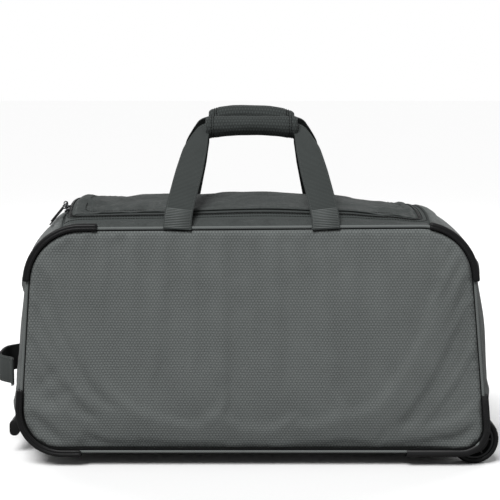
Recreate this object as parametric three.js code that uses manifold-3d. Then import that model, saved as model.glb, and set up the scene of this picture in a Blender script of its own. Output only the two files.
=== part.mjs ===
// Rolling duffel bag, 0.7 m long: soft shell with piped seams, two wheels, trolley, carry handles and zipped lid.
// Millimetres. +X towards the wheels, +Y towards the rear panel, +Z up, origin on the ground under the middle.
import * as THREE from "three";
import { mergeVertices } from "three/addons/utils/BufferGeometryUtils.js";
import Module from "manifold-3d";

const wasm = await Module();
wasm.setup();

// ---- Driving dimensions ----
const GAP = 0.4; // between touching pieces
const HALF_DEPTH = 155; // from the middle to each panel's seam
const CLOTH = 2.4; // padded shell fabric
const PANEL_CROWN = 4.2;
// Seam outline of the front and rear panels: corner x, corner z, radius.
const CORNERS = {
  bottomLeft: [-306, 22.5, 55],
  topLeft: [-285, 325.5, 72],
  topRight: [307, 330, 72],
  bottomRight: [334, 22.5, 32],
};
const PIPING_RADIUS = 2.4;
const PIPING_OUT = 1.5; // piping centre outside the seam
const PIPING_Y = 154;
const WHEEL = { x: 320, z: 34, radius: 34, y: 127, width: 28 };
const AXLE_RADIUS = 4;
const TUBE = { y: 60, z: 37, wall: 1.2, travel: 220 };
const OUTER_TUBE = { width: 20, height: 15, x0: -309.6, x1: 246 };
const MIDDLE_TUBE = { width: 16.8, height: 11.8, x0: -312, x1: 205 };
const INNER_TUBE = { width: 13.6, height: 8.6, x0: -327, x1: 180 };
const BEZEL = { halfWidth: 95, z0: 22, z1: 64, floor: -312, back: -306 };
const ZIP_FRONT_Y = -118.7;
const HINGE_Y = 120.3;
const STRAP_X = [-88, 113]; // feet of each carry handle
const WEBBING = { width: 38, thickness: 2.4 };

// ---- Finishes ----
const finish = (color, roughness, metalness = 0) => new THREE.MeshStandardMaterial({ color, roughness, metalness });
const FINISH = {
  dobby: finish(0x5f6362, 0.85),
  plain: finish(0x505453, 0.85),
  webbing: finish(0x4a4e4d, 0.8),
  piping: finish(0x6e7271, 0.7),
  rubber: finish(0x1a1a1b, 0.55),
  plastic: finish(0x151516, 0.45),
  tyre: finish(0x111112, 0.8),
  hub: finish(0x202022, 0.35),
  steel: finish(0xb8bac0, 0.3, 1),
  aluminium: finish(0xa9adb3, 0.35, 1),
  board: finish(0x2a2b2c, 0.6),
  zip: finish(0x2d3130, 0.7),
  slider: finish(0x3b3b3b, 0.35, 0.8),
};

// ---- Geometry helpers ----
const lerp = THREE.MathUtils.lerp;
const clean = (geometry) => {
  geometry.deleteAttribute("normal");
  geometry.deleteAttribute("uv");
  const merged = mergeVertices(geometry, 1e-4);
  const index = merged.index.array;
  const p = merged.attributes.position;
  const corner = [0, 1, 2].map(() => new THREE.Vector3());
  const faces = [];
  let volume = 0;
  for (let i = 0; i < index.length; i += 3) {
    const face = [index[i], index[i + 1], index[i + 2]];
    if (new Set(face).size < 3) continue;
    corner.forEach((c, k) => c.fromBufferAttribute(p, face[k]));
    volume += corner[0].dot(corner[1].clone().cross(corner[2]));
    faces.push(face);
  }
  merged.setIndex(faces.flatMap((f) => (volume < 0 ? [f[0], f[2], f[1]] : f)));
  return merged;
};
// Moves every vertex of a three.js geometry to where place(x, y, z) says.
const shaped = (geometry, place) => {
  const p = geometry.attributes.position;
  for (let i = 0; i < p.count; i++) p.setXYZ(i, ...place(p.getX(i), p.getY(i), p.getZ(i)));
  return clean(geometry);
};
const solid = (geometry) => {
  const g = clean(geometry.clone());
  const vertProperties = new Float32Array(g.attributes.position.array);
  return new wasm.Manifold(new wasm.Mesh({ numProp: 3, vertProperties, triVerts: new Uint32Array(g.index.array) }));
};
const geometryOf = (manifold) => {
  const mesh = manifold.getMesh();
  const g = new THREE.BufferGeometry();
  g.setAttribute("position", new THREE.BufferAttribute(new Float32Array(mesh.vertProperties), 3));
  g.setIndex(Array.from(mesh.triVerts));
  return g;
};
const combine = (method) => (first, ...rest) =>
  geometryOf(rest.reduce((sum, g) => sum[method](solid(g)), solid(first)));
const cut = combine("subtract");
const join = combine("add");
const common = combine("intersect");

const block = ([x0, x1], [y0, y1], [z0, z1]) =>
  new THREE.BoxGeometry(x1 - x0, y1 - y0, z1 - z0).translate((x0 + x1) / 2, (y0 + y1) / 2, (z0 + z1) / 2);
const polygon = (points) => new THREE.Shape(points.map(([x, y]) => new THREE.Vector2(x, y)));
const roundedRectangle = (width, height, radius) => {
  const w = width / 2 - radius;
  const h = height / 2 - radius;
  const shape = new THREE.Shape();
  shape.absarc(w, h, radius, 0, Math.PI / 2);
  shape.absarc(-w, h, radius, Math.PI / 2, Math.PI);
  shape.absarc(-w, -h, radius, Math.PI, 1.5 * Math.PI);
  shape.absarc(w, -h, radius, 1.5 * Math.PI, 2 * Math.PI);
  shape.closePath();
  return shape;
};
const extrude = (shape, depth, steps = 1, curveSegments = 2) =>
  new THREE.ExtrudeGeometry(shape, { depth, steps, curveSegments, bevelEnabled: false });
// A shape drawn in (y, z) and run along X, or drawn in (x, z) and run along Y.
const alongX = (shape, x0, x1, y = 0, z = 0) => shaped(extrude(shape, x1 - x0), (a, b, c) => [x0 + c, y + a, z + b]);
const alongY = (shape, y0, y1, x = 0, z = 0, segments = 2) =>
  shaped(extrude(shape, y1 - y0, 1, segments), (a, b, c) => [x + a, y0 + c, z + b]);

const bag = new THREE.Group();
const add = (name, geometry, material) => {
  const mesh = new THREE.Mesh(clean(geometry), material);
  mesh.name = name;
  bag.add(mesh);
};

// ---- Seam outline, clockwise from the bottom middle as seen from the front ----
const outline = new THREE.Path();
const arcSpan = {}; // distance along the outline where each corner starts and ends
const seam = (() => {
  const names = ["bottomLeft", "topLeft", "topRight", "bottomRight"];
  const at = (k) => new THREE.Vector2(...CORNERS[names[(k + 4) % 4]].slice(0, 2));
  outline.moveTo(0, CORNERS.bottomLeft[1]);
  names.forEach((name, k) => {
    const r = CORNERS[name][2];
    const into = at(k).sub(at(k - 1)).normalize();
    const out = at(k + 1).sub(at(k)).normalize();
    const turn = Math.acos(into.dot(out));
    const start = at(k).addScaledVector(into, -r * Math.tan(turn / 2));
    const centre = new THREE.Vector2(start.x + into.y * r, start.y - into.x * r);
    outline.lineTo(start.x, start.y);
    const before = outline.getLength();
    const angle = Math.atan2(start.y - centre.y, start.x - centre.x);
    outline.absarc(centre.x, centre.y, r, angle, angle - turn, true);
    arcSpan[name] = [before, before + r * turn];
  });
  outline.lineTo(0, CORNERS.bottomLeft[1]);
  outline.updateArcLengths();
  return outline.getLength();
})();
const seamPoint = (s, out = 0) => {
  const t = (((s % seam) + seam) % seam) / seam;
  const p = outline.getPoint(t);
  const step = 0.02 / seam;
  const before = outline.getPoint(Math.max(t - step, 0));
  const after = outline.getPoint(Math.min(t + step, 1));
  const along = after.sub(before).normalize();
  return new THREE.Vector2(p.x - along.y * out, p.y + along.x * out);
};
const middleOf = ([a, b]) => (a + b) / 2;
const topAt = (x) => arcSpan.topLeft[1] + (x - seamPoint(arcSpan.topLeft[1]).x);

// Distances along the outline at which every shell piece has its edges.
const arcStep = Math.PI / 14;
const lineStep = 48;
const stations = (() => {
  const list = [];
  let last = 0;
  for (const name of ["bottomLeft", "topLeft", "topRight", "bottomRight", "end"]) {
    const [a, b] = arcSpan[name] ?? [seam, seam];
    const rows = Math.max(2, Math.round((a - last) / lineStep));
    for (let i = 0; i < rows; i++) list.push(lerp(last, a, i / rows));
    if (b === a) break;
    const turns = Math.round((b - a) / CORNERS[name][2] / arcStep);
    for (let i = 0; i < turns; i++) list.push(lerp(a, b, i / turns));
    last = b;
  }
  return list;
})();
const between = (a, b) => {
  const wrapped = b > seam ? stations.concat(stations.map((s) => s + seam)) : stations;
  return [a, ...wrapped.filter((s) => s > a + 3 && s < b - 3), b];
};

// How far the shell stands out of the seam outline halfway between the panels.
const lidLeft = arcSpan.topLeft[1] - 15; // where the zip crosses the left shoulder
const lidRight = arcSpan.topRight[0] + 3;
const BULGE = [
  [arcSpan.bottomLeft[0] - 30, 0],
  [arcSpan.bottomLeft[0], 8],
  [middleOf(arcSpan.bottomLeft), 21],
  [arcSpan.bottomLeft[1], 25],
  [middleOf([arcSpan.bottomLeft[1], arcSpan.topLeft[0]]), 24.6],
  [arcSpan.topLeft[0], 20],
  [middleOf(arcSpan.topLeft), 18.5],
  [lidLeft - 11, 19.5],
  [lidLeft, 33],
  [arcSpan.topLeft[1], 35],
  [topAt(-120), 37.5],
  [topAt(25), 41.5],
  [topAt(133), 35],
  [topAt(199), 25.5],
  [arcSpan.topRight[0], 17],
  [middleOf(arcSpan.topRight), 15],
  [arcSpan.topRight[1], 21],
  [arcSpan.bottomRight[0] - 125, 27.5],
  [arcSpan.bottomRight[0] - 60, 25.5],
  [arcSpan.bottomRight[0], 18],
  [middleOf(arcSpan.bottomRight), 12],
  [arcSpan.bottomRight[1], 6],
  [arcSpan.bottomRight[1] + 30, 0],
];
const FULLNESS = 2.6; // 2 bulges as an arc, and more is flatter with fuller shoulders
const bulge = (s) => {
  const k = BULGE.findIndex(([at]) => at > s);
  if (k <= 0) return 0;
  const [[a, low], [b, high]] = [BULGE[k - 1], BULGE[k]];
  return lerp(low, high, THREE.MathUtils.smoothstep(s, a, b));
};
const shellPoint = (s, y, depth) => {
  const out = bulge(s) * (1 - Math.abs(y / HALF_DEPTH) ** FULLNESS) - depth;
  const p = seamPoint(s, out);
  return [p.x, y, p.y];
};
// A sheet of the shell between two places on the outline and two depths of the bag.
const sheet = (s0, s1, y0, y1, outer = 0, inner = CLOTH, rows = 6) => {
  const list = between(s0, s1);
  const box = new THREE.BoxGeometry(1, 1, 1, list.length - 1, rows, 1);
  return shaped(box, (a, b, c) =>
    shellPoint(list[Math.round((a + 0.5) * (list.length - 1))], lerp(y0, y1, b + 0.5), c < 0 ? outer : inner),
  );
};
// A section drawn as (out, y) and run along part of the outline.
const alongSeam = (section, s0, s1, curveSegments = 2) => {
  const list = between(s0, s1);
  return shaped(extrude(section, list.length - 1, list.length - 1, curveSegments), (out, y, k) => {
    const p = seamPoint(list[Math.round(k)], out);
    return [p.x, y, p.y];
  });
};
const mirrored = (geometry) => shaped(geometry.clone(), (x, y, z) => [x, -y, z]);
const bothSides = (name, front, material) => {
  add(`front_${name}`, front, material);
  add(`rear_${name}`, mirrored(front), material);
};

// ---- Shell ----
const GUSSET_EDGE = 151.2;
function crownedPanel() {
  const inset = -PIPING_RADIUS + PIPING_OUT - GAP - 0.1;
  const rings = [0, 0.5, 0.85, 1];
  const y = (r) => -157 - PANEL_CROWN * (1 - r ** 2);
  const profile = [...rings.map((r) => [r, y(r) + 3.4]), ...rings.reverse().map((r) => [r, y(r)])];
  const disc = new THREE.LatheGeometry(profile.map(([r, h]) => new THREE.Vector2(r, h)), stations.length);
  const centre = new THREE.Vector2(12, 175);
  return shaped(disc, (x, h, z) => {
    const turn = Math.atan2(x, z) / (2 * Math.PI);
    const k = Math.round((turn < 0 ? turn + 1 : turn) * stations.length) % stations.length;
    const p = centre.clone().lerp(seamPoint(stations[k], inset), Math.hypot(x, z));
    return [p.x, h, p.y];
  });
}
function piping() {
  const ring = new THREE.Shape();
  ring.absarc(PIPING_OUT, -PIPING_Y, PIPING_RADIUS, 0, 2 * Math.PI);
  return alongSeam(ring, GAP, seam - GAP, 3);
}
// The moulded corner guards are L-shaped: over the face of the seam and round its outside.
const GUARD = { inner: -1, outer: 8.2, nook: 4.4, front: -160.4, lip: -157.5, back: -147.5 };
const guardSection = () =>
  polygon([
    [GUARD.inner, GUARD.front + 0.8],
    [GUARD.inner + 1.6, GUARD.front],
    [GUARD.outer - 2.2, GUARD.front],
    [GUARD.outer, GUARD.front + 2.2],
    [GUARD.outer, GUARD.back],
    [GUARD.nook, GUARD.back],
    [GUARD.nook, GUARD.lip],
    [GUARD.inner, GUARD.lip],
  ]);

const TAPE = { body: 10, lid: 5 }; // visible width of the zip tape on each side of its teeth
const bottomStart = arcSpan.bottomRight[1] + 12;
const bottomEnd = seam + arcSpan.bottomLeft[0] - 6;

const atWheel = (geometry) => geometry.translate(WHEEL.x, -WHEEL.y, WHEEL.z);
const CHEEKS = { outer: [-148.6, -144.6], inner: [-109.2, -105] };
function wheelHousing() {
  const foot = alongSeamPoints(bottomHousing, sideHousing, GUARD.outer);
  const inner = [[304, 92], [276, 72], [262, 44]];
  const profile = [...foot, ...inner];
  const cheek = (y0, y1) => alongY(polygon(profile), y0, y1);
  const well = new THREE.CylinderGeometry(WHEEL.radius + 3.5, WHEEL.radius + 3.5, 80, 28);
  const bore = new THREE.CylinderGeometry(AXLE_RADIUS + 0.3, AXLE_RADIUS + 0.3, 80, 12);
  const arch = cut(cheek(CHEEKS.outer[1] - 0.5, CHEEKS.inner[0] + 0.5), atWheel(well));
  const guard = alongSeam(guardSection(), guardTop, guardFoot);
  return cut(join(guard, cheek(...CHEEKS.outer), cheek(...CHEEKS.inner), arch), atWheel(bore));
}
const guardTop = arcSpan.bottomRight[0] - 42;
const guardFoot = arcSpan.bottomRight[1] + 74;
const sideHousing = arcSpan.bottomRight[0] - 38;
const bottomHousing = arcSpan.bottomRight[1] + 44;
function alongSeamPoints(from, to, out) {
  const list = between(to, from);
  return list.reverse().map((s) => seamPoint(s, out).toArray());
}
// The room that a housing takes in the shell around it.
function housingRoom() {
  const profile = [...alongSeamPoints(bottomHousing + 5, sideHousing - 3, 40), [303, 94], [274, 73], [260, 44]];
  return alongY(polygon(profile), -151.2, -102.2);
}

bothSides("panel", crownedPanel(), FINISH.dobby);
bothSides("piping", piping(), FINISH.piping);
for (const [name, before, after] of [["bottomLeft", 26, 26], ["topLeft", 3, 22], ["topRight", -12, 8]]) {
  const [a, b] = arcSpan[name];
  const label = name.replace(/([A-Z])/, "_$1").toLowerCase();
  bothSides(`corner_guard_${label}`, alongSeam(guardSection(), a - before, b + after), FINISH.rubber);
}

const bezelRoom = block([-360, -280], [-BEZEL.halfWidth - GAP, BEZEL.halfWidth + GAP], [BEZEL.z0 - GAP, BEZEL.z1 + GAP]);
const housingRooms = [housingRoom(), mirrored(housingRoom())];
const edge = GUSSET_EDGE;
add("left_end_panel", cut(sheet(bottomEnd - seam + GAP, lidLeft - TAPE.body - GAP, -edge, edge), bezelRoom), FINISH.plain);
add("right_end_panel", cut(sheet(lidRight + TAPE.body + GAP, bottomStart - GAP, -edge, edge), ...housingRooms), FINISH.plain);
add("bottom_panel", cut(sheet(bottomStart, bottomEnd, -edge, edge), ...housingRooms), FINISH.plain);
const topSpan = [lidLeft - TAPE.body, lidRight + TAPE.body];
const tapeEdge = ZIP_FRONT_Y - TAPE.body - 4;
add("top_front_strip", sheet(...topSpan, -edge, tapeEdge - GAP, 0, CLOTH, 2), FINISH.plain);
add("top_rear_strip", sheet(...topSpan, HINGE_Y + 2, edge, 0, CLOTH, 2), FINISH.plain);

// ---- Zipped lid ----
const TAPE_DEPTH = [0.5, 2.1];
const topPatch = (inset, frontY, rearY) =>
  sheet(topSpan[0] + inset, topSpan[1] - inset, frontY, rearY, ...TAPE_DEPTH);
const topTool = (inset, frontY) => sheet(topSpan[0] + inset, topSpan[1] - inset, frontY, HINGE_Y + 8, -4, 9);
const tapeEnd = HINGE_Y - 1.6;
add("zip_tape_body_side", cut(topPatch(0, tapeEdge, tapeEnd), topTool(TAPE.body, ZIP_FRONT_Y)), FINISH.zip);
add(
  "zip_tape_lid_side",
  cut(topPatch(TAPE.body + GAP, ZIP_FRONT_Y + GAP, tapeEnd), topTool(TAPE.body + TAPE.lid, ZIP_FRONT_Y + TAPE.lid)),
  FINISH.zip,
);
const lidInset = TAPE.body + TAPE.lid + GAP;
add(
  "lid_panel",
  sheet(topSpan[0] + lidInset, topSpan[1] - lidInset, ZIP_FRONT_Y + TAPE.lid + GAP, HINGE_Y - 0.8, 0, CLOTH, 8),
  FINISH.plain,
);

// Each slider stands on the body side of the teeth, and its pull hangs over the left shoulder.
const SLIDER = { length: 11, width: 7 };
const PULL = { length: 33, width: 6, thickness: 1.6, droop: 50 };
const PIVOT = [-0.5, 0, 7.6]; // the ring hangs on the crown's bar
const zipRun = lidLeft - SLIDER.width / 2 - 0.4;
const SHOULDER_TILT = -0.5;
// Stands a piece drawn on a level slider upright on the shell at this place along the zip.
const onZip = (geometry, y) => geometry.rotateY(SHOULDER_TILT).translate(...shellPoint(zipRun, y, -1.2));
function sliderBody(y) {
  const half = SLIDER.length / 2;
  const base = alongY(roundedRectangle(SLIDER.width, 3, 1), -half, half, 0, 1.5);
  const crown = cut(block([-1, 1], [-3.6, 3.6], [2, 8.4]), block([-2, 2], [-2.2, 2.2], [3.4, 6.8]));
  return onZip(join(base, crown), y);
}
function sliderPull(y) {
  const { length, width, thickness, droop } = PULL;
  const ring = new THREE.TorusGeometry(2.7, 0.75, 6, 12).rotateX(Math.PI / 2);
  const tab = block([-length, -2.9], [-width / 2, width / 2], [-thickness / 2, thickness / 2]);
  const hung = join(ring, tab).rotateY(-THREE.MathUtils.degToRad(droop) - SHOULDER_TILT);
  return onZip(hung.translate(...PIVOT), y);
}
for (const [name, y] of [["front", -88], ["rear", -68]]) {
  add(`zip_slider_${name}`, sliderBody(y), FINISH.slider);
  add(`zip_pull_${name}`, sliderPull(y), FINISH.rubber);
}

// ---- Carry handles ----
// Half of the webbing's middle line from a foot to the grip: across, up to the grip in y and z, and width.
const GRIP_Y = -17;
const HANDLES = {
  front: { rise: 0, side: 1, grip: [131, 16.5] },
  rear: { rise: 9, side: -1, grip: [124, 15.5] },
};
const HALF_STRAP = [
  [0, -159.8, 327.5, 1],
  [1.5, -148, 347, 1],
  [7, -125, 372.5, 1],
  [14, -95, 401.5, 1],
  [21, -62, 430.4, 0.9],
  [26, -41, 446.7, 0.7],
  [29, -30, 455.3, 0.58],
  [33, -20.5, 462.7, 0.5],
  [39, GRIP_Y, 465.5, 0.5],
  [60, GRIP_Y, 465.5, 0.5],
];
const GRIP_SLOPE = 38;
const SLOT_ROOM = { width: 8, thickness: 3 };
const slopeAt = (z) => {
  const low = lerp(60, 46, THREE.MathUtils.smoothstep(z, 327, 372));
  return THREE.MathUtils.degToRad(lerp(low, GRIP_SLOPE, THREE.MathUtils.smoothstep(z, 372, 440)));
};
function handleWebbing({ rise, side }) {
  const grow = (z) => z + rise * THREE.MathUtils.smoothstep(z, 340, 440);
  const half = HALF_STRAP.map(([x, y, z, w]) => [STRAP_X[0] + x, y, grow(z), w]);
  const other = half.map(([x, y, z, w]) => [STRAP_X[0] + STRAP_X[1] - x, y, z, w]).reverse();
  const rows = [...half, ...other];
  const line = new THREE.CatmullRomCurve3(rows.map(([x, y, z]) => new THREE.Vector3(x, y, z)));
  const steps = 34;
  return shaped(new THREE.BoxGeometry(1, 1, 1, steps, 1, 1), (a, b, c) => {
    const t = a + 0.5;
    const p = line.getPoint(t);
    const k = Math.min(Math.floor(t * (rows.length - 1)), rows.length - 2);
    const width = WEBBING.width * lerp(rows[k][3], rows[k + 1][3], t * (rows.length - 1) - k);
    const slope = slopeAt(p.z);
    const normal = new THREE.Vector3(0, -Math.sin(slope), Math.cos(slope));
    const across = normal.clone().cross(line.getTangent(t)).normalize();
    p.addScaledVector(across, b * width).addScaledVector(normal, c * WEBBING.thickness);
    return [p.x, p.y * side, p.z];
  });
}
const MOUTH = 7; // at each end the sleeve is open below, where the webbing turns in
function gripSleeve({ rise, side, grip: [length, radius] }) {
  const middle = (STRAP_X[0] + STRAP_X[1]) / 2;
  const thickness = WEBBING.thickness + SLOT_ROOM.thickness;
  const round = new THREE.CylinderGeometry(radius, radius, length, 16).rotateZ(Math.PI / 2);
  const slot = new THREE.BoxGeometry(length + 2, WEBBING.width / 2 + SLOT_ROOM.width, thickness);
  const mouths = [-1, 1].map((end) =>
    new THREE.BoxGeometry(2 * MOUTH, 2 * radius, thickness).translate((end * length) / 2, -radius, 0),
  );
  const tools = [slot, ...mouths].map((tool) => tool.rotateX(THREE.MathUtils.degToRad(GRIP_SLOPE)));
  const sleeve = cut(round, ...tools).translate(middle, GRIP_Y, 465.5 + rise);
  return side > 0 ? sleeve : mirrored(sleeve);
}
for (const [name, handle] of Object.entries(HANDLES)) {
  add(`${name}_handle_webbing`, handleWebbing(handle), FINISH.webbing);
  add(`${name}_handle_sleeve`, gripSleeve(handle), FINISH.webbing);
}

// ---- Grab handle on the left end ----
const GRAB = { z: 117, width: 38 };
const GRAB_LINE = [[-325.8, -82], [-329, -63], [-337.5, -53], [-348, -40], [-352.2, -20], [-352.6, 0]];
function grabBand(outer, inner) {
  const points = [...GRAB_LINE, ...GRAB_LINE.slice(0, -1).reverse().map(([x, y]) => [x, -y])];
  const line = new THREE.SplineCurve(points.map(([x, y]) => new THREE.Vector2(x, y)));
  return shaped(new THREE.BoxGeometry(1, 1, 1, 20, 1, 1), (a, b, c) => {
    const p = line.getPoint(a + 0.5);
    const along = line.getTangent(a + 0.5);
    const out = c < 0 ? inner : outer;
    return [p.x - along.y * out, p.y + along.x * out, GRAB.z + b * GRAB.width];
  });
}
add("grab_handle_webbing", grabBand(1.2, -1), FINISH.webbing);
add("grab_handle_lining", grabBand(-1.4, -2.8), FINISH.rubber);

// ---- Base, feet and skid rails ----
add("base_board", alongXY(roundedRectangle(548, 290, 12), 45.6, 48.6, -16), FINISH.board);
function alongXY(shape, z0, z1, x = 0, y = 0) {
  return extrude(shape, z1 - z0).translate(x, y, z0);
}
const seatZ = CORNERS.bottomLeft[1] - GAP;
const foot = alongXY(roundedRectangle(34, 24, 8), 0, seatZ, -198, -64);
bothSides("foot", foot, FINISH.plastic);
const rail = alongXY(roundedRectangle(330, 12, 5), 12, seatZ, 10, -64);
bothSides("skid_rail", rail, FINISH.plastic);

// ---- Wheels ----
const lathe = (points, segments = 24) =>
  new THREE.LatheGeometry(points.map(([r, h]) => new THREE.Vector2(r, h)), segments);
const halfWheel = WHEEL.width / 2;
const tyre = [[27, -halfWheel + 1], [31.5, -halfWheel], [34, -9], [34, 9], [31.5, halfWheel], [27, halfWheel - 1]];
const core = [[7.4, -12], [11, -12], [12, -6], [21, -5], [23.5, -12], [26.6, -12]];
const coreRing = [...core, ...core.map(([r, h]) => [r, -h]).reverse()];
bothSides("wheel_tyre", atWheel(lathe([...tyre, tyre[0]])), FINISH.tyre);
bothSides("wheel_core", atWheel(lathe([...coreRing, coreRing[0]])), FINISH.hub);
const bush = [[4.3, -13], [7, -13], [7, 13], [4.3, 13], [4.3, -13]];
bothSides("wheel_bearing", atWheel(lathe(bush, 12)), FINISH.steel);
const axle = [[0, -23.6], [6.5, -23.6], [6.5, -22], [AXLE_RADIUS, -22], [AXLE_RADIUS, 24.2], [0, 24.2]];
bothSides("wheel_axle", atWheel(lathe(axle, 12)), FINISH.steel);
const clip = [[4.3, 22.4], [7.5, 22.4], [7.5, 23.8], [4.3, 23.8], [4.3, 22.4]];
bothSides("axle_clip", atWheel(lathe(clip, 12)), FINISH.steel);
bothSides("wheel_housing", wheelHousing(), FINISH.plastic);

// ---- Trolley: two stages of tubes that pull out of the left end ----
function tube({ width, height, x0, x1 }) {
  const section = roundedRectangle(width, height, 2.5);
  section.holes.push(roundedRectangle(width - 2 * TUBE.wall, height - 2 * TUBE.wall, 1.4));
  return alongX(section, x0, x1, -TUBE.y, TUBE.z);
}
function bezel() {
  const skin = sheet(arcSpan.bottomLeft[0] + 4, arcSpan.bottomLeft[1] + 20, -100, 100, -2, 30, 8);
  const { halfWidth, z0, z1, floor, back } = BEZEL;
  const plate = common(skin, block([-345, back], [-halfWidth, halfWidth], [z0, z1]));
  const scoop = block([-350, floor], [-84, 84], [z0 + 3, z1 - 3]);
  const holes = [-TUBE.y, TUBE.y].map((y) =>
    alongX(roundedRectangle(MIDDLE_TUBE.width + 0.8, MIDDLE_TUBE.height + 0.8, 2.6), floor - 2, back + 2, y, TUBE.z),
  );
  const sockets = [-TUBE.y, TUBE.y].map((y) =>
    alongX(roundedRectangle(OUTER_TUBE.width + 0.8, OUTER_TUBE.height + 0.8, 2.6), -310, back + 2, y, TUBE.z),
  );
  return cut(plate, scoop, ...holes, ...sockets);
}
function collar() {
  const ring = roundedRectangle(20, 15, 2.5);
  ring.holes.push(roundedRectangle(INNER_TUBE.width + 0.8, INNER_TUBE.height + 0.8, 2));
  return alongX(ring, -316.4, MIDDLE_TUBE.x0 - 0.4, -TUBE.y, TUBE.z);
}
const GRIP = { x0: -331, x1: -317, height: 22, halfWidth: 79 };
const BUTTON = { halfWidth: 15, height: 9, pocket: -323, back: -326.4, front: -332.4, travel: 3 };
function trolleyGrip() {
  const section = roundedRectangle(GRIP.x1 - GRIP.x0, GRIP.height, 6);
  const bar = alongY(section, -GRIP.halfWidth, GRIP.halfWidth, (GRIP.x0 + GRIP.x1) / 2, TUBE.z);
  const sockets = [-TUBE.y, TUBE.y].map((y) =>
    alongX(roundedRectangle(INNER_TUBE.width + 0.8, INNER_TUBE.height + 0.8, 2), INNER_TUBE.x0 - 0.5, -310, y, TUBE.z),
  );
  const h = BUTTON.height / 2 + GAP;
  const w = BUTTON.halfWidth + GAP;
  return cut(bar, ...sockets, block([-345, BUTTON.pocket], [-w, w], [TUBE.z - h, TUBE.z + h]));
}
function trolleyButton() {
  const face = roundedRectangle(BUTTON.halfWidth * 2, BUTTON.height, 3);
  return alongX(face, BUTTON.front, BUTTON.back, 0, TUBE.z);
}
add("trolley_bezel", bezel(), FINISH.plastic);
bothSides("trolley_outer_tube", tube(OUTER_TUBE), FINISH.aluminium);
bothSides("trolley_middle_tube", tube(MIDDLE_TUBE), FINISH.aluminium);
bothSides("trolley_middle_collar", collar(), FINISH.plastic);
bothSides("trolley_inner_tube", tube(INNER_TUBE), FINISH.aluminium);
add("trolley_grip", trolleyGrip(), FINISH.rubber);
add("trolley_button", trolleyButton(), FINISH.plastic);
add("trolley_anchor", block([246.4, 256], [-102, 102], [29, 45.2]), FINISH.plastic);

export default bag;
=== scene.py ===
"""Looks of a rolling duffel bag: piped shell, zipped lid, webbing handles, corner guards, wheels and trolley."""
import math

import bmesh
import bpy
import numpy as np
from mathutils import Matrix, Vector, noise
from mathutils.geometry import delaunay_2d_cdt


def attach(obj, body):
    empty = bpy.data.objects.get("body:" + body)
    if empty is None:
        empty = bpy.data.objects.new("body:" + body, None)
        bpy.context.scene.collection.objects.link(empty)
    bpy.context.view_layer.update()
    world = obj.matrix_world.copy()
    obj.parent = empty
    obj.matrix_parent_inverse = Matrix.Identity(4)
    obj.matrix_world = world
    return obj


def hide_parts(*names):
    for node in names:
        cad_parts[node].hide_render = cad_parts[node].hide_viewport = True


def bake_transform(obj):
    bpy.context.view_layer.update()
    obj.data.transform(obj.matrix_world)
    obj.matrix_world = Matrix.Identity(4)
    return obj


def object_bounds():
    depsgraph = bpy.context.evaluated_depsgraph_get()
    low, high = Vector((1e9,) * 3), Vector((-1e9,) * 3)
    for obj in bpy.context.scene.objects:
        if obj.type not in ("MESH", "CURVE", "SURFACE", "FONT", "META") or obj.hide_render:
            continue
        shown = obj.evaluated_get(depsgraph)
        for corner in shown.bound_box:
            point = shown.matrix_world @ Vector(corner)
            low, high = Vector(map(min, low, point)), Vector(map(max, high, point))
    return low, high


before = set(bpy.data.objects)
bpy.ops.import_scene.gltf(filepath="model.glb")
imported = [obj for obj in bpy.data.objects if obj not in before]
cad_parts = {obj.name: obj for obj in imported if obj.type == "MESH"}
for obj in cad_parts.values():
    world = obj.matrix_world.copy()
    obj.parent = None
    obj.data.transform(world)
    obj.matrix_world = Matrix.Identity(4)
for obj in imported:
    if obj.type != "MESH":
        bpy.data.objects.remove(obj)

bl_info = {
    "name": "Rolling duffel bag",
    "version": (1, 0, 0),
    "blender": (4, 5, 0),
    "location": "3D View > Sidebar > Duffel bag",
    "description": "Builds a wheeled duffel bag around its packed frame",
    "category": "Add Mesh",
}

MM = 0.001
CAD_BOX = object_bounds()
BOTH = (("front", 1), ("rear", -1))  # side name, and the sign that mirrors the front's pieces in Y


# ---- Sizes and colours a user would change ----
def linear(hex_colour):
    """The linear red, green and blue of an sRGB hex value."""
    channels = [int(hex_colour[i : i + 2], 16) / 255 for i in (1, 3, 5)]
    return tuple(c / 12.92 if c <= 0.04045 else ((c + 0.055) / 1.055) ** 2.4 for c in channels)


def length(name, description, default):
    return bpy.props.FloatProperty(name=name, description=description, default=default, min=0, unit="LENGTH")


def colour(name, description, default):
    return bpy.props.FloatVectorProperty(name=name, description=description, default=linear(default), size=3,
                                         subtype="COLOR", min=0, max=1)


class BagSizes(bpy.types.PropertyGroup):
    cloth: length("Cloth", "Thickness of the padded shell cloth", 2.0 * MM)
    dobby: length("Dobby pitch", "Distance between the figures woven into the panels", 4.1 * MM)
    piping: length("Piping radius", "Radius of the covered piping cord", 2.3 * MM)
    zip_pitch: length("Zip pitch", "Distance between the coil's teeth", 2.1 * MM)
    stitch: length("Stitch length", "Length of one stitch and the gap after it", 3.6 * MM)
    camera_distance: length("Camera distance", "From the camera to the bag's middle plane", 2.230)


class BagColours(bpy.types.PropertyGroup):
    panel: colour("Panels", "Front and rear dobby cloth", "#666A69")
    gusset: colour("Gusset", "Ends, top strips and base cloth", "#565A59")
    # The lid and top strips take this tint, darker than the gusset's: painted shade for the cloth that faces up.
    lid: colour("Lid", "Lid cloth", "#3D4140")
    webbing: colour("Webbing", "Handle webbing", "#3A3E3D")
    piping: colour("Piping", "Covered piping cord", "#666A69")
    rubber: colour("Guards", "Corner guards and grip", "#0E0E0F")
    plastic: colour("Plastic", "Wheel housings, feet and bezel", "#101011")


def sizes():
    return bpy.context.scene.bag_sizes


def colours():
    return bpy.context.scene.bag_colours


# ---- Material helpers ----
ACROSS = (0, 1, 0)  # the direction across a cloth or band in its own UV map


def gained(base, gain):
    """A colour made lighter or darker by a gain, with full alpha."""
    return (*[min(c * gain, 1.0) for c in base], 1.0)


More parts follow.
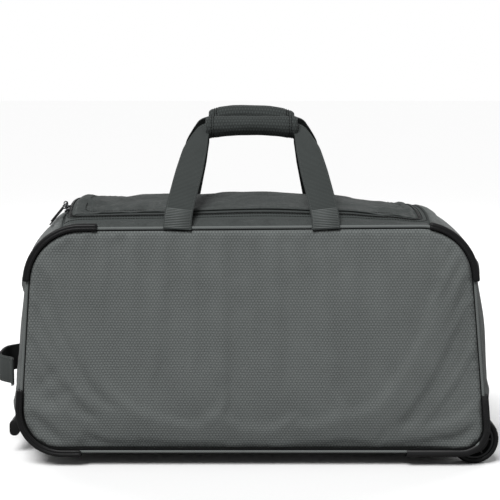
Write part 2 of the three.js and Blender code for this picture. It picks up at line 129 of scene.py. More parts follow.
def add_node(tree, kind, inputs=None, **settings):
    """Adds a node: each setting is an attribute, and each input a value or the socket it is linked to."""
    made = tree.nodes.new(kind)
    for key, value in settings.items():
        setattr(made, key, value)
    for key, value in (inputs or {}).items():
        if isinstance(value, bpy.types.NodeSocket):
            tree.links.new(value, made.inputs[key])
        else:
            made.inputs[key].default_value = value
    return made


def place(tree, space="UV", scale=(1, 1, 1)):
    """Texture coordinates in metres, from the piece's own UV map or its Object coordinates."""
    source = add_node(tree, "ShaderNodeTexCoord").outputs[space]
    return add_node(tree, "ShaderNodeMapping", {"Vector": source, "Scale": scale}).outputs[0]


def grain(tree, vector, size, detail=3.0, rough=0.55, low=0.0, high=1.0):
    """Noise whose features are about this size, in metres, with low to high stretched to 0 to 1."""
    inputs = {"Vector": vector, "Scale": 1 / size, "Detail": detail, "Roughness": rough}
    noisy = add_node(tree, "ShaderNodeTexNoise", inputs, normalize=True).outputs[0]
    inputs = {"Value": noisy, "From Min": low, "From Max": high}
    return add_node(tree, "ShaderNodeMapRange", inputs).outputs[0]


def waves(tree, vector, pitch, axis=(1, 0, 0)):
    """A cosine from -1 to 1 along an axis, with this pitch in metres."""
    inputs = {0: vector, 1: tuple(2 * math.pi / pitch * a for a in axis)}
    along = add_node(tree, "ShaderNodeVectorMath", inputs, operation="DOT_PRODUCT").outputs["Value"]
    return add_node(tree, "ShaderNodeMath", {0: along}, operation="COSINE").outputs[0]


def weave(tree, uv, pitch):
    """Yarns along the cloth crossing yarns that run across it, from -1 to 1."""
    inputs = {0: waves(tree, uv, pitch), 1: waves(tree, uv, pitch, ACROSS)}
    return add_node(tree, "ShaderNodeMath", inputs, operation="MULTIPLY").outputs[0]


def layers(tree, *parts, clamp=False):
    """The sum of patterns laid over each other, each at its own strength."""
    total = 0.0
    for layer, strength in parts:
        inputs = {0: layer, 1: strength, 2: total}
        laid = add_node(tree, "ShaderNodeMath", inputs, operation="MULTIPLY_ADD")
        total = laid.outputs[0]
    laid.use_clamp = clamp
    return total


def finish(name, tint, roughness, pattern, contrast=(0.8, 1.2), relief=0.3, spread=0.08, **shader):
    """A finish whose pattern gives a shade, 0 to 1, and a height in mm.

    The shade moves the colour between contrast's two gains, and the roughness by spread either way.
    """
    base = linear(tint) if isinstance(tint, str) else tint
    made = bpy.data.materials.get(name)
    if made:
        return made
    made = bpy.data.materials.new(name)
    made.use_nodes = True
    tree = made.node_tree
    surface = tree.nodes["Principled BSDF"]
    for key, value in shader.items():
        surface.inputs[key.replace("_", " ")].default_value = value
    shade, height = pattern(tree)
    ends = {0: shade, 6: gained(base, contrast[0]), 7: gained(base, contrast[1])}
    mix = add_node(tree, "ShaderNodeMix", ends, data_type="RGBA")
    tree.links.new(mix.outputs[2], surface.inputs["Base Color"])
    inputs = {"Value": shade, "To Min": roughness + spread, "To Max": roughness - spread}
    worn = add_node(tree, "ShaderNodeMapRange", inputs)
    tree.links.new(worn.outputs[0], surface.inputs["Roughness"])
    bump = add_node(tree, "ShaderNodeBump", {"Height": height, "Distance": MM, "Strength": relief})
    tree.links.new(bump.outputs[0], surface.inputs["Normal"])
    return made


# ---- Finishes ----
def dobby(name, tint):
    """Dobby polyester with raised honeycomb figures: a matt cloth with a faint lit dot in each cell."""
    def pattern(tree):
        uv = place(tree)
        rise = math.sqrt(3) / 2
        axes = (ACROSS, (rise, 0.5, 0), (rise, -0.5, 0))
        rows = [(waves(tree, uv, sizes().dobby * rise, axis), 1.0) for axis in axes]
        inputs = {"Value": layers(tree, *rows), "From Min": -1.5, "From Max": 3.0}
        figure = add_node(tree, "ShaderNodeMapRange", inputs).outputs[0]
        yarn = grain(tree, uv, 1.3 * MM, 2.0, low=0.3, high=0.7)
        # cloudy gives broad blotches of lighter and darker colour: painted shade that stands for the shading of
        # soft wrinkles.
        cloudy = grain(tree, uv, 55 * MM, 4.0, low=0.3, high=0.7)
        shade = layers(tree, (figure, 0.5), (yarn, 0.4), (cloudy, 0.1), clamp=True)
        return shade, layers(tree, (figure, 0.6), (yarn, 0.35))
    return finish(name, tint, 0.85, pattern, (0.40, 1.6), 0.6, Sheen_Weight=0.05, Specular_IOR_Level=0.2)


def dobby_cloth():
    return dobby("Dobby polyester, honeycomb woven", colours().panel)


def wrap_cloth():
    return dobby("Dobby polyester, grip wrap", colours().webbing)


def plain_cloth(name, tint, rumpled):
    """Plain woven polyester: fine yarns, drawn at twice their real pitch to show, and soft rumples, whose bump is
    also painted into the colour as shade and highlight.
    """
    def pattern(tree):
        uv = place(tree)
        yarns = weave(tree, uv, 1.5 * MM)
        slub = grain(tree, place(tree, scale=(1, 0.2, 1)), 2.2 * MM, 2.0)
        rumple = grain(tree, uv, 38 * MM, 3.0, 0.5, 0.25, 0.75)
        # The rumple noise in the shade is painted shade and highlight: lighter where the rumples' bump rises,
        # darker where it sinks.
        shade = layers(tree, (yarns, 0.12), (slub, 0.7), (rumple, 0.25), clamp=True)
        return shade, layers(tree, (yarns, 0.12), (rumple, rumpled))
    return finish(name, tint, 0.62, pattern, (0.55, 1.45), 1.0, Sheen_Weight=0.05, Specular_IOR_Level=0.3)


def lining_cloth():
    """Black taffeta lining, with a coating behind it that gives a low soft gloss."""
    def pattern(tree):
        uv = place(tree)
        crease = grain(tree, uv, 30 * MM, 4.0)
        return crease, layers(tree, (weave(tree, uv, 2 * MM), 0.1), (crease, 2.5))
    return finish("Taffeta lining, coated", "#161718", 0.62, pattern, (0.6, 1.5), 0.5, Specular_IOR_Level=0.3)


def ribbed_webbing():
    """Polyester webbing, woven with ribs across the band and a tight selvedge along each edge, with painted
    shade: lighter on the ribs' crowns, darker between them.
    """
    def pattern(tree):
        uv = place(tree)
        ribs = waves(tree, uv, 2.4 * MM)
        cords = waves(tree, uv, 1.9 * MM, ACROSS)
        # Painted shade: the colour is lighter on each rib's crown and darker between the ribs.
        painted_rib_shade = add_node(tree, "ShaderNodeMapRange", {"Value": ribs, "From Min": -1.0}).outputs[0]
        fuzz = grain(tree, uv, 1.2 * MM, 3.0)
        cloudy = grain(tree, uv, 30 * MM, 2.0)
        shade = layers(tree, (painted_rib_shade, 0.5), (fuzz, 0.3), (cloudy, 0.2), clamp=True)
        return shade, layers(tree, (ribs, 0.22), (cords, 0.12))
    return finish("Polyester webbing, rib woven", colours().webbing, 0.8, pattern, (0.35, 1.65), 1.0,
                  Sheen_Weight=0.05, Specular_IOR_Level=0.2)


def piping_cover():
    """Cloth-covered piping: the cover is cut on the bias, so its yarns run round the cord at an angle."""
    def pattern(tree):
        twill = waves(tree, place(tree), 2.2 * MM, (0.8, 0.6, 0))
        lit = add_node(tree, "ShaderNodeMapRange", {"Value": twill, "From Min": -1.0}).outputs[0]
        fuzz = grain(tree, place(tree), 1.5 * MM)
        shade = layers(tree, (lit, 0.45), (fuzz, 0.55), clamp=True)
        return shade, layers(tree, (twill, 0.15))
    return finish("Piping cover, bias cut", colours().piping, 0.72, pattern, (0.7, 1.3), 0.7,
                  Specular_IOR_Level=0.25)


def moulded(name, tint, roughness, size=0.8, wear=1.6, **shader):
    """A moulded part: an etched mould leaves a fine even grain, and handling polishes it in patches."""
    def pattern(tree):
        spot = place(tree, "Object")
        etched = grain(tree, spot, size * MM, 2.0)
        handled = grain(tree, spot, 24 * MM, 4.0)
        return layers(tree, (etched, 0.35), (handled, 0.65)), layers(tree, (etched, 0.18))
    return finish(name, tint, roughness, pattern, (0.7, wear), 0.7, 0.1, **shader)


def guard_rubber():
    return moulded("Thermoplastic rubber, satin moulded", colours().rubber, 0.44, 0.7,
                   Specular_IOR_Level=0.34)


def housing_plastic():
    return moulded("Polypropylene, spark textured", colours().plastic, 0.5, 1.1, Specular_IOR_Level=0.34)


def tyre_rubber():
    """Cast polyurethane tyre: dull black, with grey scuffs where it has rolled."""
    def pattern(tree):
        spot = place(tree, "Object")
        scuffs = grain(tree, spot, 5 * MM, 6.0, 0.7)
        dust = grain(tree, spot, 22 * MM, 2.0)
        marks = grain(tree, spot, 5 * MM, 6.0, 0.7, 0.45, 0.75)
        return layers(tree, (marks, dust), clamp=True), layers(tree, (scuffs, 0.25))
    return finish("Cast polyurethane, worn", "#0C0C0D", 0.6, pattern, (0.7, 1.7), 0.5, -0.15,
                  Specular_IOR_Level=0.3)


def bright_metal(name, tint, roughness, stretch):
    """Metal with fine lines along its length, left by drawing or turning."""
    def pattern(tree):
        lines = grain(tree, place(tree, "Object", stretch), 0.6 * MM, 3.0)
        smudge = grain(tree, place(tree, "Object"), 18 * MM, 3.0)
        return layers(tree, (lines, 0.6), (smudge, 0.4)), layers(tree, (lines, 0.05))
    return finish(name, tint, roughness, pattern, (0.82, 1.12), 0.4, 0.1, Metallic=1.0)


def drawn_aluminium():
    return bright_metal("Aluminium tube, drawn and anodised", "#B4B8BD", 0.34, (0.02, 1, 1))


def plated_steel():
    return bright_metal("Steel, turned and zinc plated", "#B8BAC0", 0.3, (1, 1, 1))


def enamelled_zinc():
    return bright_metal("Zinc, die cast and enamelled", "#47484A", 0.36, (1, 1, 1))


def zip_tape_cloth():
    """Woven zip tape: dark polyester in a herringbone, which reads as fine lines along the tape."""
    def pattern(tree):
        uv = place(tree)
        lines = waves(tree, uv, 1.7 * MM, ACROSS)
        slanted = waves(tree, uv, 2.2 * MM, (1, 0.8, 0))
        herring = layers(tree, (slanted, lines))
        lit = add_node(tree, "ShaderNodeMapRange", {"Value": herring, "From Min": -1.0}).outputs[0]
        fuzz = grain(tree, uv, 1.1 * MM)
        return layers(tree, (fuzz, 0.7), (lit, 0.3)), layers(tree, (herring, 0.1), (lines, 0.12))
    return finish("Polyester zip tape, herringbone", "#414544", 0.75, pattern, (0.6, 1.4), 0.6,
                  Specular_IOR_Level=0.2)


def coil_nylon():
    return moulded("Nylon coil, extruded", "#151616", 0.38, 0.5, Specular_IOR_Level=0.4)


def sewing_thread(name, tint):
    """Bonded polyester thread: two plies twisted, with a slight lustre."""
    def pattern(tree):
        twist = waves(tree, place(tree, "Object"), 0.9 * MM, (0.7, 0.7, 0.3))
        lit = add_node(tree, "ShaderNodeMapRange", {"Value": twist, "From Min": -1.0}).outputs[0]
        return lit, layers(tree, (twist, 0.08))
    return finish(name, tint, 0.55, pattern, (0.8, 1.2), 0.5, Specular_IOR_Level=0.3)


def grey_thread():
    return sewing_thread("Bonded polyester thread, grey", "#4A4D4C")


def black_thread():
    return sewing_thread("Bonded polyester thread, black", "#0E0F0F")


def bar_tack_yarn():
    return sewing_thread("Polyester yarn, ribs of the webbing", "#606463")


def painted_seam_shade():
    """A black strip that closes the seam beside the piping, with fine ribs across it: its black is painted shade
    for the dark seam line.
    """
    def pattern(tree):
        spot = place(tree, "Object")
        ribs = grain(tree, spot, 1.2 * MM, 2.0)
        return ribs, layers(tree, (ribs, 0.2))
    return finish("Black strip, painted seam shade", "#0C0D0D", 0.85, pattern, (0.6, 1.5), 0.6,
                  Specular_IOR_Level=0.15)


def board_sheet():
    return moulded("Polyethylene board, extruded", "#2A2B2C", 0.55, 2.5, 1.3, Specular_IOR_Level=0.4)


def gusset_cloth():
    return plain_cloth("Plain woven polyester, coated", colours().gusset, 3.5)


# Plain cloth like the gusset's, in the darker lid tint: painted shade for the lid and top strips, which face up.
def lid_cloth():
    return plain_cloth("Plain woven polyester, painted top shade", colours().lid, 6.5)


# ---- Mesh helpers ----
def mesh_object(name, points, faces, materials, uv=None, smooth=True):
    """A mesh at the origin, with its place in its points; uv holds one pair for each point, in metres."""
    mesh = bpy.data.meshes.new(name)
    mesh.from_pydata([tuple(p) for p in points], [], [tuple(f) for f in faces])
    for material in materials if isinstance(materials, (list, tuple)) else [materials]:
        mesh.materials.append(material)
    if uv is not None:
        layer = mesh.uv_layers.new(name="Cloth")
        corner = np.empty(len(mesh.loops), np.int32)
        mesh.loops.foreach_get("vertex_index", corner)
        layer.data.foreach_set("uv", np.asarray(uv, np.float32)[corner].ravel())
    mesh.polygons.foreach_set("use_smooth", [smooth] * len(mesh.polygons))
    made = bpy.data.objects.new(name, mesh)
    bpy.context.scene.collection.objects.link(made)
    return made


def bake(made):
    """Turns the object's modifiers into plain mesh."""
    ready = made.evaluated_get(bpy.context.evaluated_depsgraph_get())
    mesh = bpy.data.meshes.new_from_object(ready, depsgraph=bpy.context.evaluated_depsgraph_get())
    made.modifiers.clear()
    old, made.data = made.data, mesh
    mesh.name = made.name
    bpy.data.meshes.remove(old)
    return made


def thicken(made, thickness):
    """Gives a sheet its thickness, inwards, with its second material on the inside."""
    solid = made.modifiers.new("Thickness", "SOLIDIFY")
    solid.thickness = thickness
    solid.offset = -1
    solid.use_even_offset = True
    solid.material_offset = len(made.data.materials) - 1
    solid.material_offset_rim = 0
    return bake(made)


def shade_by_angle(made, degrees=32):
    mesh = made.data
    mesh.polygons.foreach_set("use_smooth", [True] * len(mesh.polygons))
    mesh.set_sharp_from_angle(angle=math.radians(degrees))
    return made


def rounded(points, radius, steps=4):
    """A closed outline with each corner turned into a short curve."""
    out = []
    count = len(points)
    for k, here in enumerate(np.asarray(points, float)):
        before, after = np.array(points[k - 1], float) - here, np.array(points[(k + 1) % count], float) - here
        near = [v / np.linalg.norm(v) * min(radius, 0.45 * np.linalg.norm(v)) for v in (before, after)]
        for t in np.linspace(0, 1, steps):
            out.append(here + near[0] * (1 - t) ** 2 + near[1] * t**2)
    return np.array(out)


def sweep(name, rings, materials, closed=False, caps=True, swap=False):
    """Skins a list of rings, each a closed loop of points; closed joins the last ring to the first."""
    rings = np.asarray(rings, float)
    count, size = rings.shape[:2]
    middle = rings.mean(axis=1)
    along = np.concatenate([[0], np.cumsum(np.linalg.norm(np.diff(middle, axis=0), axis=1))])
    around = np.concatenate([[0], np.cumsum(np.linalg.norm(np.diff(rings[0], axis=0), axis=1))])
    uv = np.stack(np.meshgrid(along, around, indexing="ij"), axis=-1).reshape(-1, 2)
    faces = []
    for i in range(count if closed else count - 1):
        for j in range(size):
            a, b = i * size + j, i * size + (j + 1) % size
            c, d = (i + 1) % count * size + (j + 1) % size, (i + 1) % count * size + j
            faces.append((a, d, c, b) if swap else (a, b, c, d))
    if caps and not closed:
        ends = (range(size - 1, -1, -1), range((count - 1) * size, count * size))
        faces += [tuple(reversed(e)) if swap else tuple(e) for e in ends]
    made = mesh_object(name, rings.reshape(-1, 3), faces, materials, uv)
    return face_outwards(made)


def face_outwards(made):
    work = bmesh.new()
    work.from_mesh(made.data)
    bmesh.ops.recalc_face_normals(work, faces=work.faces)
    work.to_mesh(made.data)
    work.free()
    return made


def lathe(name, profile, centre, material, steps=72):
    """Turns a closed outline of (radius, y) about a line along Y through the centre."""
    rings = []
    for angle in np.linspace(0, 2 * math.pi, steps, endpoint=False):
        x, z = math.cos(angle), math.sin(angle)
        rings.append([(centre[0] + r * x, centre[1] + y, centre[2] + r * z) for r, y in profile])
    return sweep(name, rings, material, closed=True)


def mirrored(points, sign):
    points = np.array(points, float)
    points[..., 1] *= sign
    return points


def keep(made, body, slot, *nodes):
    """Puts a finished piece on its body and hides the CAD nodes it stands for. Its slot argument, the finish slot
    it takes, is not used.
    """
    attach(made, body)
    if nodes:
        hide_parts(*nodes)
    return made


def refined(node, body, slot, material, bevel=0.5 * MM, degrees=32):
    """A copy of a hard CAD node with its triangles merged into faces and its edges softly broken."""
    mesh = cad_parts[node].data.copy()
    work = bmesh.new()
    work.from_mesh(mesh)
    bmesh.ops.remove_doubles(work, verts=work.verts, dist=0.01 * MM)
    bmesh.ops.dissolve_limit(work, angle_limit=math.radians(1), verts=work.verts, edges=work.edges)
    work.to_mesh(mesh)
    work.free()
    mesh.materials.clear()
    mesh.materials.append(material)
    made = bpy.data.objects.new(node + "_finished", mesh)
    bpy.context.scene.collection.objects.link(made)
    edges = made.modifiers.new("Broken edges", "BEVEL")
    edges.width = bevel
    edges.segments = 2
    edges.limit_method = "ANGLE"
    edges.angle_limit = math.radians(degrees)
    return keep(shade_by_angle(bake(made)), body, slot, node)


# ---- Seam outline of the panels, clockwise from the bottom middle as seen from the front ----
CORNERS = {  # x, z and radius
    "bottom_left": (-0.306, 0.0225, 0.055),
    "top_left": (-0.285, 0.3255, 0.072),
    "top_right": (0.307, 0.330, 0.072),
    "bottom_right": (0.334, 0.0225, 0.032),
}
HALF_DEPTH = 0.155
TRACE_STEP = 0.5 * MM


def trace_seam():
    """Points and outward normals along the seam, their distances, and the span of each corner's arc."""
    names = list(CORNERS)
    at = [np.array(CORNERS[n][:2]) for n in names]
    here = np.array([0.0, at[0][1]])
    points, span, run = [here], {}, 0.0
    for k, name in enumerate(names):
        radius = CORNERS[name][2]
        into = (at[k] - at[k - 1]) / np.linalg.norm(at[k] - at[k - 1])
        after = at[(k + 1) % 4] - at[k]
        turn = math.acos(np.dot(into, after / np.linalg.norm(after)))
        start = at[k] - into * radius * math.tan(turn / 2)
        run += np.linalg.norm(start - here)
        steps = int(np.linalg.norm(start - here) / TRACE_STEP)
        points += [here + (start - here) * t for t in np.linspace(0, 1, steps)[1:]]
        centre = start + radius * np.array([into[1], -into[0]])
        angle = math.atan2(*(start - centre)[::-1])
        bend = angle - np.linspace(0, turn, int(radius * turn / TRACE_STEP))[1:]
        points += list(centre + radius * np.stack([np.cos(bend), np.sin(bend)], axis=1))
        span[name] = (run, run + radius * turn)
        run += radius * turn
        here = points[-1]
    points += [here + (points[0] - here) * t for t in np.linspace(0, 1, 600)[1:]]
    points = np.array(points)
    along = np.gradient(points, axis=0)
    along /= np.linalg.norm(along, axis=1)[:, None]
    distance = np.concatenate([[0], np.cumsum(np.linalg.norm(np.diff(points, axis=0), axis=1))])
    return distance, points, np.stack([-along[:, 1], along[:, 0]], axis=1), span


SEAM_AT, SEAM_POINTS, SEAM_NORMALS, SPAN = trace_seam()
SEAM = SEAM_AT[-1]


def seam_point(s, out=0.0):
    """x and z at a distance along the seam, this far outside it."""
    s = np.mod(np.asarray(s, float), SEAM)
    p = np.stack([np.interp(s, SEAM_AT, SEAM_POINTS[:, k]) for k in (0, 1)], axis=-1)
    n = np.stack([np.interp(s, SEAM_AT, SEAM_NORMALS[:, k]) for k in (0, 1)], axis=-1)
    return p + n * np.asarray(out)[..., None]


def top_at(x):
    return SPAN["top_left"][1] + x - seam_point(SPAN["top_left"][1])[0]


LID_LEFT = SPAN["top_left"][1] - 0.015
LID_RIGHT = SPAN["top_right"][0] + 0.003
ZIP_FRONT = -0.1214
HINGE_Y = 0.1203
GUSSET_EDGE = 0.1512
TAPE_BODY, TAPE_LID = 0.010, 0.005
STRIP_EDGE = ZIP_FRONT - TAPE_BODY - 0.004
BOTTOM_START = SPAN["bottom_right"][1] + 0.012
BOTTOM_END = SEAM + SPAN["bottom_left"][0] - 0.006
SIDE_HOUSING = SPAN["bottom_right"][0] - 0.038
BOTTOM_HOUSING = SPAN["bottom_right"][1] + 0.044
HOUSING_INNER = 0.1025
HOUSING_LAP = 0.003  # how far the cloth runs in behind a wheel housing


def middle_of(name):
    return sum(SPAN[name]) / 2


BULGE = np.array([  # distance along the seam, and how far the shell stands out of it between the panels
    (SPAN["bottom_left"][0] - 0.030, 0), (SPAN["bottom_left"][0], 0.008), (middle_of("bottom_left"), 0.021),
    (SPAN["bottom_left"][1], 0.025), ((SPAN["bottom_left"][1] + SPAN["top_left"][0]) / 2, 0.0246),
    (SPAN["top_left"][0], 0.020), (middle_of("top_left"), 0.0185), (LID_LEFT - 0.011, 0.0195),
    (LID_LEFT, 0.0325), (SPAN["top_left"][1], 0.0338), (top_at(-0.120), 0.0358), (top_at(0.025), 0.0412),
    (top_at(0.133), 0.0347), (top_at(0.199), 0.0253), (SPAN["top_right"][0], 0.0165),
    (middle_of("top_right"), 0.015), (SPAN["top_right"][1], 0.021), (SPAN["bottom_right"][0] - 0.125, 0.0275),
    (SPAN["bottom_right"][0] - 0.060, 0.0255), (SPAN["bottom_right"][0], 0.018),
    (middle_of("bottom_right"), 0.012), (SPAN["bottom_right"][1], 0.006),
    (SPAN["bottom_right"][1] + 0.030, 0),
])
FULLNESS = 2.6


def bulge(s):
    """Smooth steps between the table's distances."""
    s = np.asarray(s, float)
    k = np.clip(np.searchsorted(BULGE[:, 0], s, side="right"), 1, len(BULGE) - 1)
    a, b = BULGE[k - 1, 0], BULGE[k, 0]
    low, high = BULGE[k - 1, 1], BULGE[k, 1]
    t = np.clip((s - a) / (b - a), 0, 1)
    inside = (s >= BULGE[0, 0]) & (s <= BULGE[-1, 0])
    return np.where(inside, low + (high - low) * t * t * (3 - 2 * t), 0)


def shell_point(s, y, out=0.0):
    """The shell at a distance along the seam and a depth y, and this far outside its surface."""
    s, y = np.broadcast_arrays(np.asarray(s, float), np.asarray(y, float))
    stand = bulge(s) * (1 - np.abs(y / HALF_DEPTH) ** FULLNESS) + out
    p = seam_point(s, stand)
    return np.stack([p[..., 0], y, p[..., 1]], axis=-1)


def stops(low, high, step, *through):
    """Values from low to high about a step apart, which include every value given."""
    marks = sorted({low, high, *[t for t in through if low < t < high]})
    out = []
    for a, b in zip(marks, marks[1:]):
        out += list(np.linspace(a, b, max(2, round((b - a) / step) + 1))[:-1])
    return np.array(out + [high])


def shell_sheet(name, s, y, materials, out=0.0, drop=None):
    """A sheet of the shell over distances and depths; drop(s, y) is true where a face is left out."""
    grid_s, grid_y = np.meshgrid(s, y, indexing="ij")
    points = shell_point(grid_s, grid_y, out)
    rows, across = points.shape[:2]
    faces = []
    for i in range(rows - 1):
        for j in range(across - 1):
            if drop and drop((s[i] + s[i + 1]) / 2, (y[j] + y[j + 1]) / 2):
                continue
            a = i * across + j
            faces.append((a, a + across, a + across + 1, a + 1))
    uv = np.stack([grid_s, grid_y], axis=-1).reshape(-1, 2)
    return tidy(mesh_object(name, points.reshape(-1, 3), faces, materials, uv))


def tidy(made):
    """Removes points that no face uses."""
    work = bmesh.new()
    work.from_mesh(made.data)
    loose = [v for v in work.verts if not v.link_faces]
    bmesh.ops.delete(work, geom=loose, context="VERTS")
    work.to_mesh(made.data)
    work.free()
    return made


def points_of(mesh):
    co = np.empty(len(mesh.vertices) * 3, np.float32)
    mesh.vertices.foreach_get("co", co)
    return co.reshape(-1, 3).astype(float)


def set_points(mesh, points):
    mesh.vertices.foreach_set("co", np.asarray(points, np.float32).ravel())
    mesh.update()


def normals_of(mesh):
    out = np.empty(len(mesh.vertices) * 3, np.float32)
    mesh.vertex_normals.foreach_get("vector", out)
    return out.reshape(-1, 3).astype(float)


def edges_of(mesh):
    pairs = np.empty(len(mesh.edges) * 2, np.int32)
    mesh.edges.foreach_get("vertices", pairs)
    return pairs.reshape(-1, 2)


def rim_of(mesh):
    """The points on the open edge of a sheet."""
    work = bmesh.new()
    work.from_mesh(mesh)
    rim = sorted({v.index for e in work.edges if e.is_boundary for v in e.verts})
    work.free()
    return rim


def settle(made, grow, weight, pressure, cap, frames=16):
    """Lets a sheet of the shell settle under its weight, cut a little large and held at its seams.

    Its broad form stays as drawn, and the small folds that the cloth finds are kept.
    """
    rest = points_of(made.data)
    held = made.vertex_groups.new(name="held")
    held.add(rim_of(made.data), 1.0, "REPLACE")
    cloth = made.modifiers.new("Cloth", "CLOTH")
    cloth.settings.vertex_group_mass = "held"
    cloth.settings.quality = 5
    cloth.settings.mass = 0.35
    cloth.settings.bending_stiffness = 1.2
    cloth.settings.shrink_min = -grow
    cloth.settings.use_pressure = True
    cloth.settings.uniform_pressure_force = pressure
    cloth.settings.effector_weights.gravity = weight
    cloth.collision_settings.use_collision = False
    cloth.point_cache.frame_end = frames
    scene = bpy.context.scene
    for step in range(1, frames + 1):
        scene.frame_set(step)
    ready = made.evaluated_get(bpy.context.evaluated_depsgraph_get())
    moved = points_of(ready.data) - rest
    made.modifiers.clear()
    scene.frame_set(1)
    broad = moved.copy()
    pairs = edges_of(made.data)
    count = np.bincount(pairs.ravel(), minlength=len(rest))[:, None]
    for _ in range(40):
        total = np.zeros_like(broad)
        np.add.at(total, pairs[:, 0], broad[pairs[:, 1]])
        np.add.at(total, pairs[:, 1], broad[pairs[:, 0]])
        broad = total / np.maximum(count, 1)
    fold = moved - 0.85 * broad
    size = np.linalg.norm(fold, axis=1)[:, None]
    fold *= np.minimum(1, cap / np.maximum(size, 1e-9))
    set_points(made.data, rest + fold)
    return made


def crease(made, lines):
    """Presses soft creases into a sheet: each line is a start, an end, a width and a depth, in metres."""
    points, normals = points_of(made.data), normals_of(made.data)
    for start, end, width, depth in lines:
        start, end = np.array(start), np.array(end)
        run = end - start
        t = np.clip((points - start) @ run / (run @ run), 0, 1)
        away = np.linalg.norm(points - start - t[:, None] * run, axis=1)
        fade = np.sin(math.pi * np.clip(t, 0.02, 0.98))
        push = depth * fade * np.exp(-((away / width) ** 2))
        points -= normals * push[:, None]
    set_points(made.data, points)
    return made


def rumple(made, size, height, seed):
    """Moves a sheet's points in and out by soft noise, but for its edges."""
    points, normals = points_of(made.data), normals_of(made.data)
    lift = np.array([noise.noise(Vector(p) / size + Vector((seed, 0, 0))) for p in points])
    lift[rim_of(made.data)] = 0
    set_points(made.data, points + normals * (lift * height)[:, None])
    return made


# ---- Rows of small parts along a line, by Geometry Nodes ----
def row_tree():
    """A tree that sets a small rounded bar at even steps along a line, square to the line's own "up"."""
    tree = bpy.data.node_groups.get("Row of bars")
    if tree:
        return tree
    tree = bpy.data.node_groups.new("Row of bars", "GeometryNodeTree")
    face = tree.interface
    face.new_socket("Geometry", in_out="INPUT", socket_type="NodeSocketGeometry")
    for name in ("Spacing", "Bar radius", "Bar length", "Bar flatness", "Turn", "Lift"):
        face.new_socket(name, in_out="INPUT", socket_type="NodeSocketFloat")
    face.new_socket("Finish", in_out="INPUT", socket_type="NodeSocketMaterial")
    face.new_socket("Geometry", in_out="OUTPUT", socket_type="NodeSocketGeometry")
    given = tree.nodes.new("NodeGroupInput").outputs
    curve = add_node(tree, "GeometryNodeMeshToCurve", {0: given["Geometry"]})
    spaced = add_node(tree, "GeometryNodeResampleCurve", {"Length": given["Spacing"]}, mode="LENGTH")
    up = add_node(tree, "GeometryNodeInputNamedAttribute", {"Name": "up"}, data_type="FLOAT_VECTOR")
    tangent = add_node(tree, "GeometryNodeInputTangent")
    stood = add_node(tree, "FunctionNodeAlignRotationToVector", {"Vector": up.outputs[0]}, axis="Z")
    lined = add_node(tree, "FunctionNodeAlignRotationToVector",
                     {"Rotation": stood.outputs[0], "Vector": tangent.outputs[0]}, axis="X", pivot_axis="Z")
    spin = add_node(tree, "ShaderNodeCombineXYZ", {"Z": given["Turn"]})
    spun = add_node(tree, "FunctionNodeEulerToRotation", {0: spin.outputs[0]})
    turned = add_node(tree, "FunctionNodeRotateRotation",
                      {"Rotation": lined.outputs[0], "Rotate By": spun.outputs[0]}, rotation_space="LOCAL")
    bar = add_node(tree, "GeometryNodeMeshCylinder",
                   {"Vertices": 8, "Side Segments": 1, "Radius": given["Bar radius"],
                    "Depth": given["Bar length"]})
    flat = add_node(tree, "ShaderNodeCombineXYZ", {"X": given["Bar flatness"], "Y": 1.0, "Z": 1.0})
    laid = add_node(tree, "GeometryNodeTransform", {"Geometry": bar.outputs[0], "Scale": flat.outputs[0]})
    laid.inputs["Rotation"].default_value = (0, math.pi / 2, 0)
    placed = add_node(tree, "GeometryNodeInstanceOnPoints",
                      {"Points": spaced.outputs[0], "Instance": laid.outputs[0],
                       "Rotation": turned.outputs[0]})
    raised = add_node(tree, "ShaderNodeVectorMath", {0: up.outputs[0]}, operation="SCALE")
    tree.links.new(given["Lift"], raised.inputs["Scale"])
    real = add_node(tree, "GeometryNodeRealizeInstances", {0: placed.outputs[0]})
    smooth = add_node(tree, "GeometryNodeSetShadeSmooth", {"Geometry": real.outputs[0]})
    inputs = {"Geometry": smooth.outputs[0], "Material": given["Finish"]}
    painted = add_node(tree, "GeometryNodeSetMaterial", inputs)
    result = tree.nodes.new("NodeGroupOutput")
    tree.links.new(painted.outputs[0], result.inputs[0])
    # The points are raised off the cloth before the bars are set on them.
    shifted = add_node(tree, "GeometryNodeSetPosition",
                       {"Geometry": curve.outputs[0], "Offset": raised.outputs[0]})
    tree.links.new(shifted.outputs[0], spaced.inputs["Curve"])
    return tree


def row_of_bars(name, lines, material, spacing, radius, bar, flatness=1.0, turn=0.0, lift=0.0):
    """One mesh of small bars along lines; each line is its points and the direction away from the cloth."""
    points, ups, edges = [], [], []
    for line, up in lines:
        line = np.asarray(line, float)
        up = np.broadcast_to(np.asarray(up, float), line.shape)
        edges += [(len(points) + k, len(points) + k + 1) for k in range(len(line) - 1)]
        points += list(line)
        ups += list(up)
    mesh = bpy.data.meshes.new(name)
    mesh.from_pydata([tuple(p) for p in points], edges, [])
    mesh.attributes.new("up", "FLOAT_VECTOR", "POINT").data.foreach_set("vector",
                                                                        np.array(ups, np.float32).ravel())
    made = bpy.data.objects.new(name, mesh)
    bpy.context.scene.collection.objects.link(made)
    tree = row_tree()
    row = made.modifiers.new("Row", "NODES")
    row.node_group = tree
    values = {"Spacing": spacing, "Bar radius": radius, "Bar length": bar, "Bar flatness": flatness,
              "Turn": turn, "Lift": lift, "Finish": material}
    for item in tree.interface.items_tree:
        if item.in_out == "INPUT" and item.name in values:
            row[item.identifier] = values[item.name]
    bake(made)
    made.data.materials.clear()
    made.data.materials.append(material)
    return made


def stitches(name, lines, material, lift=0.3 * MM):
    """Lock stitches, each a short length of thread with a small gap after it."""
    step = sizes().stitch
    return row_of_bars(name, lines, material, step, 0.45 * MM, step * 0.72, lift=lift)


def shell_line(s, y, lift=0.0):
    """A line on the shell with its outward directions."""
    points = shell_point(s, y, lift)
    return points, shell_point(s, y, lift + MM) - points


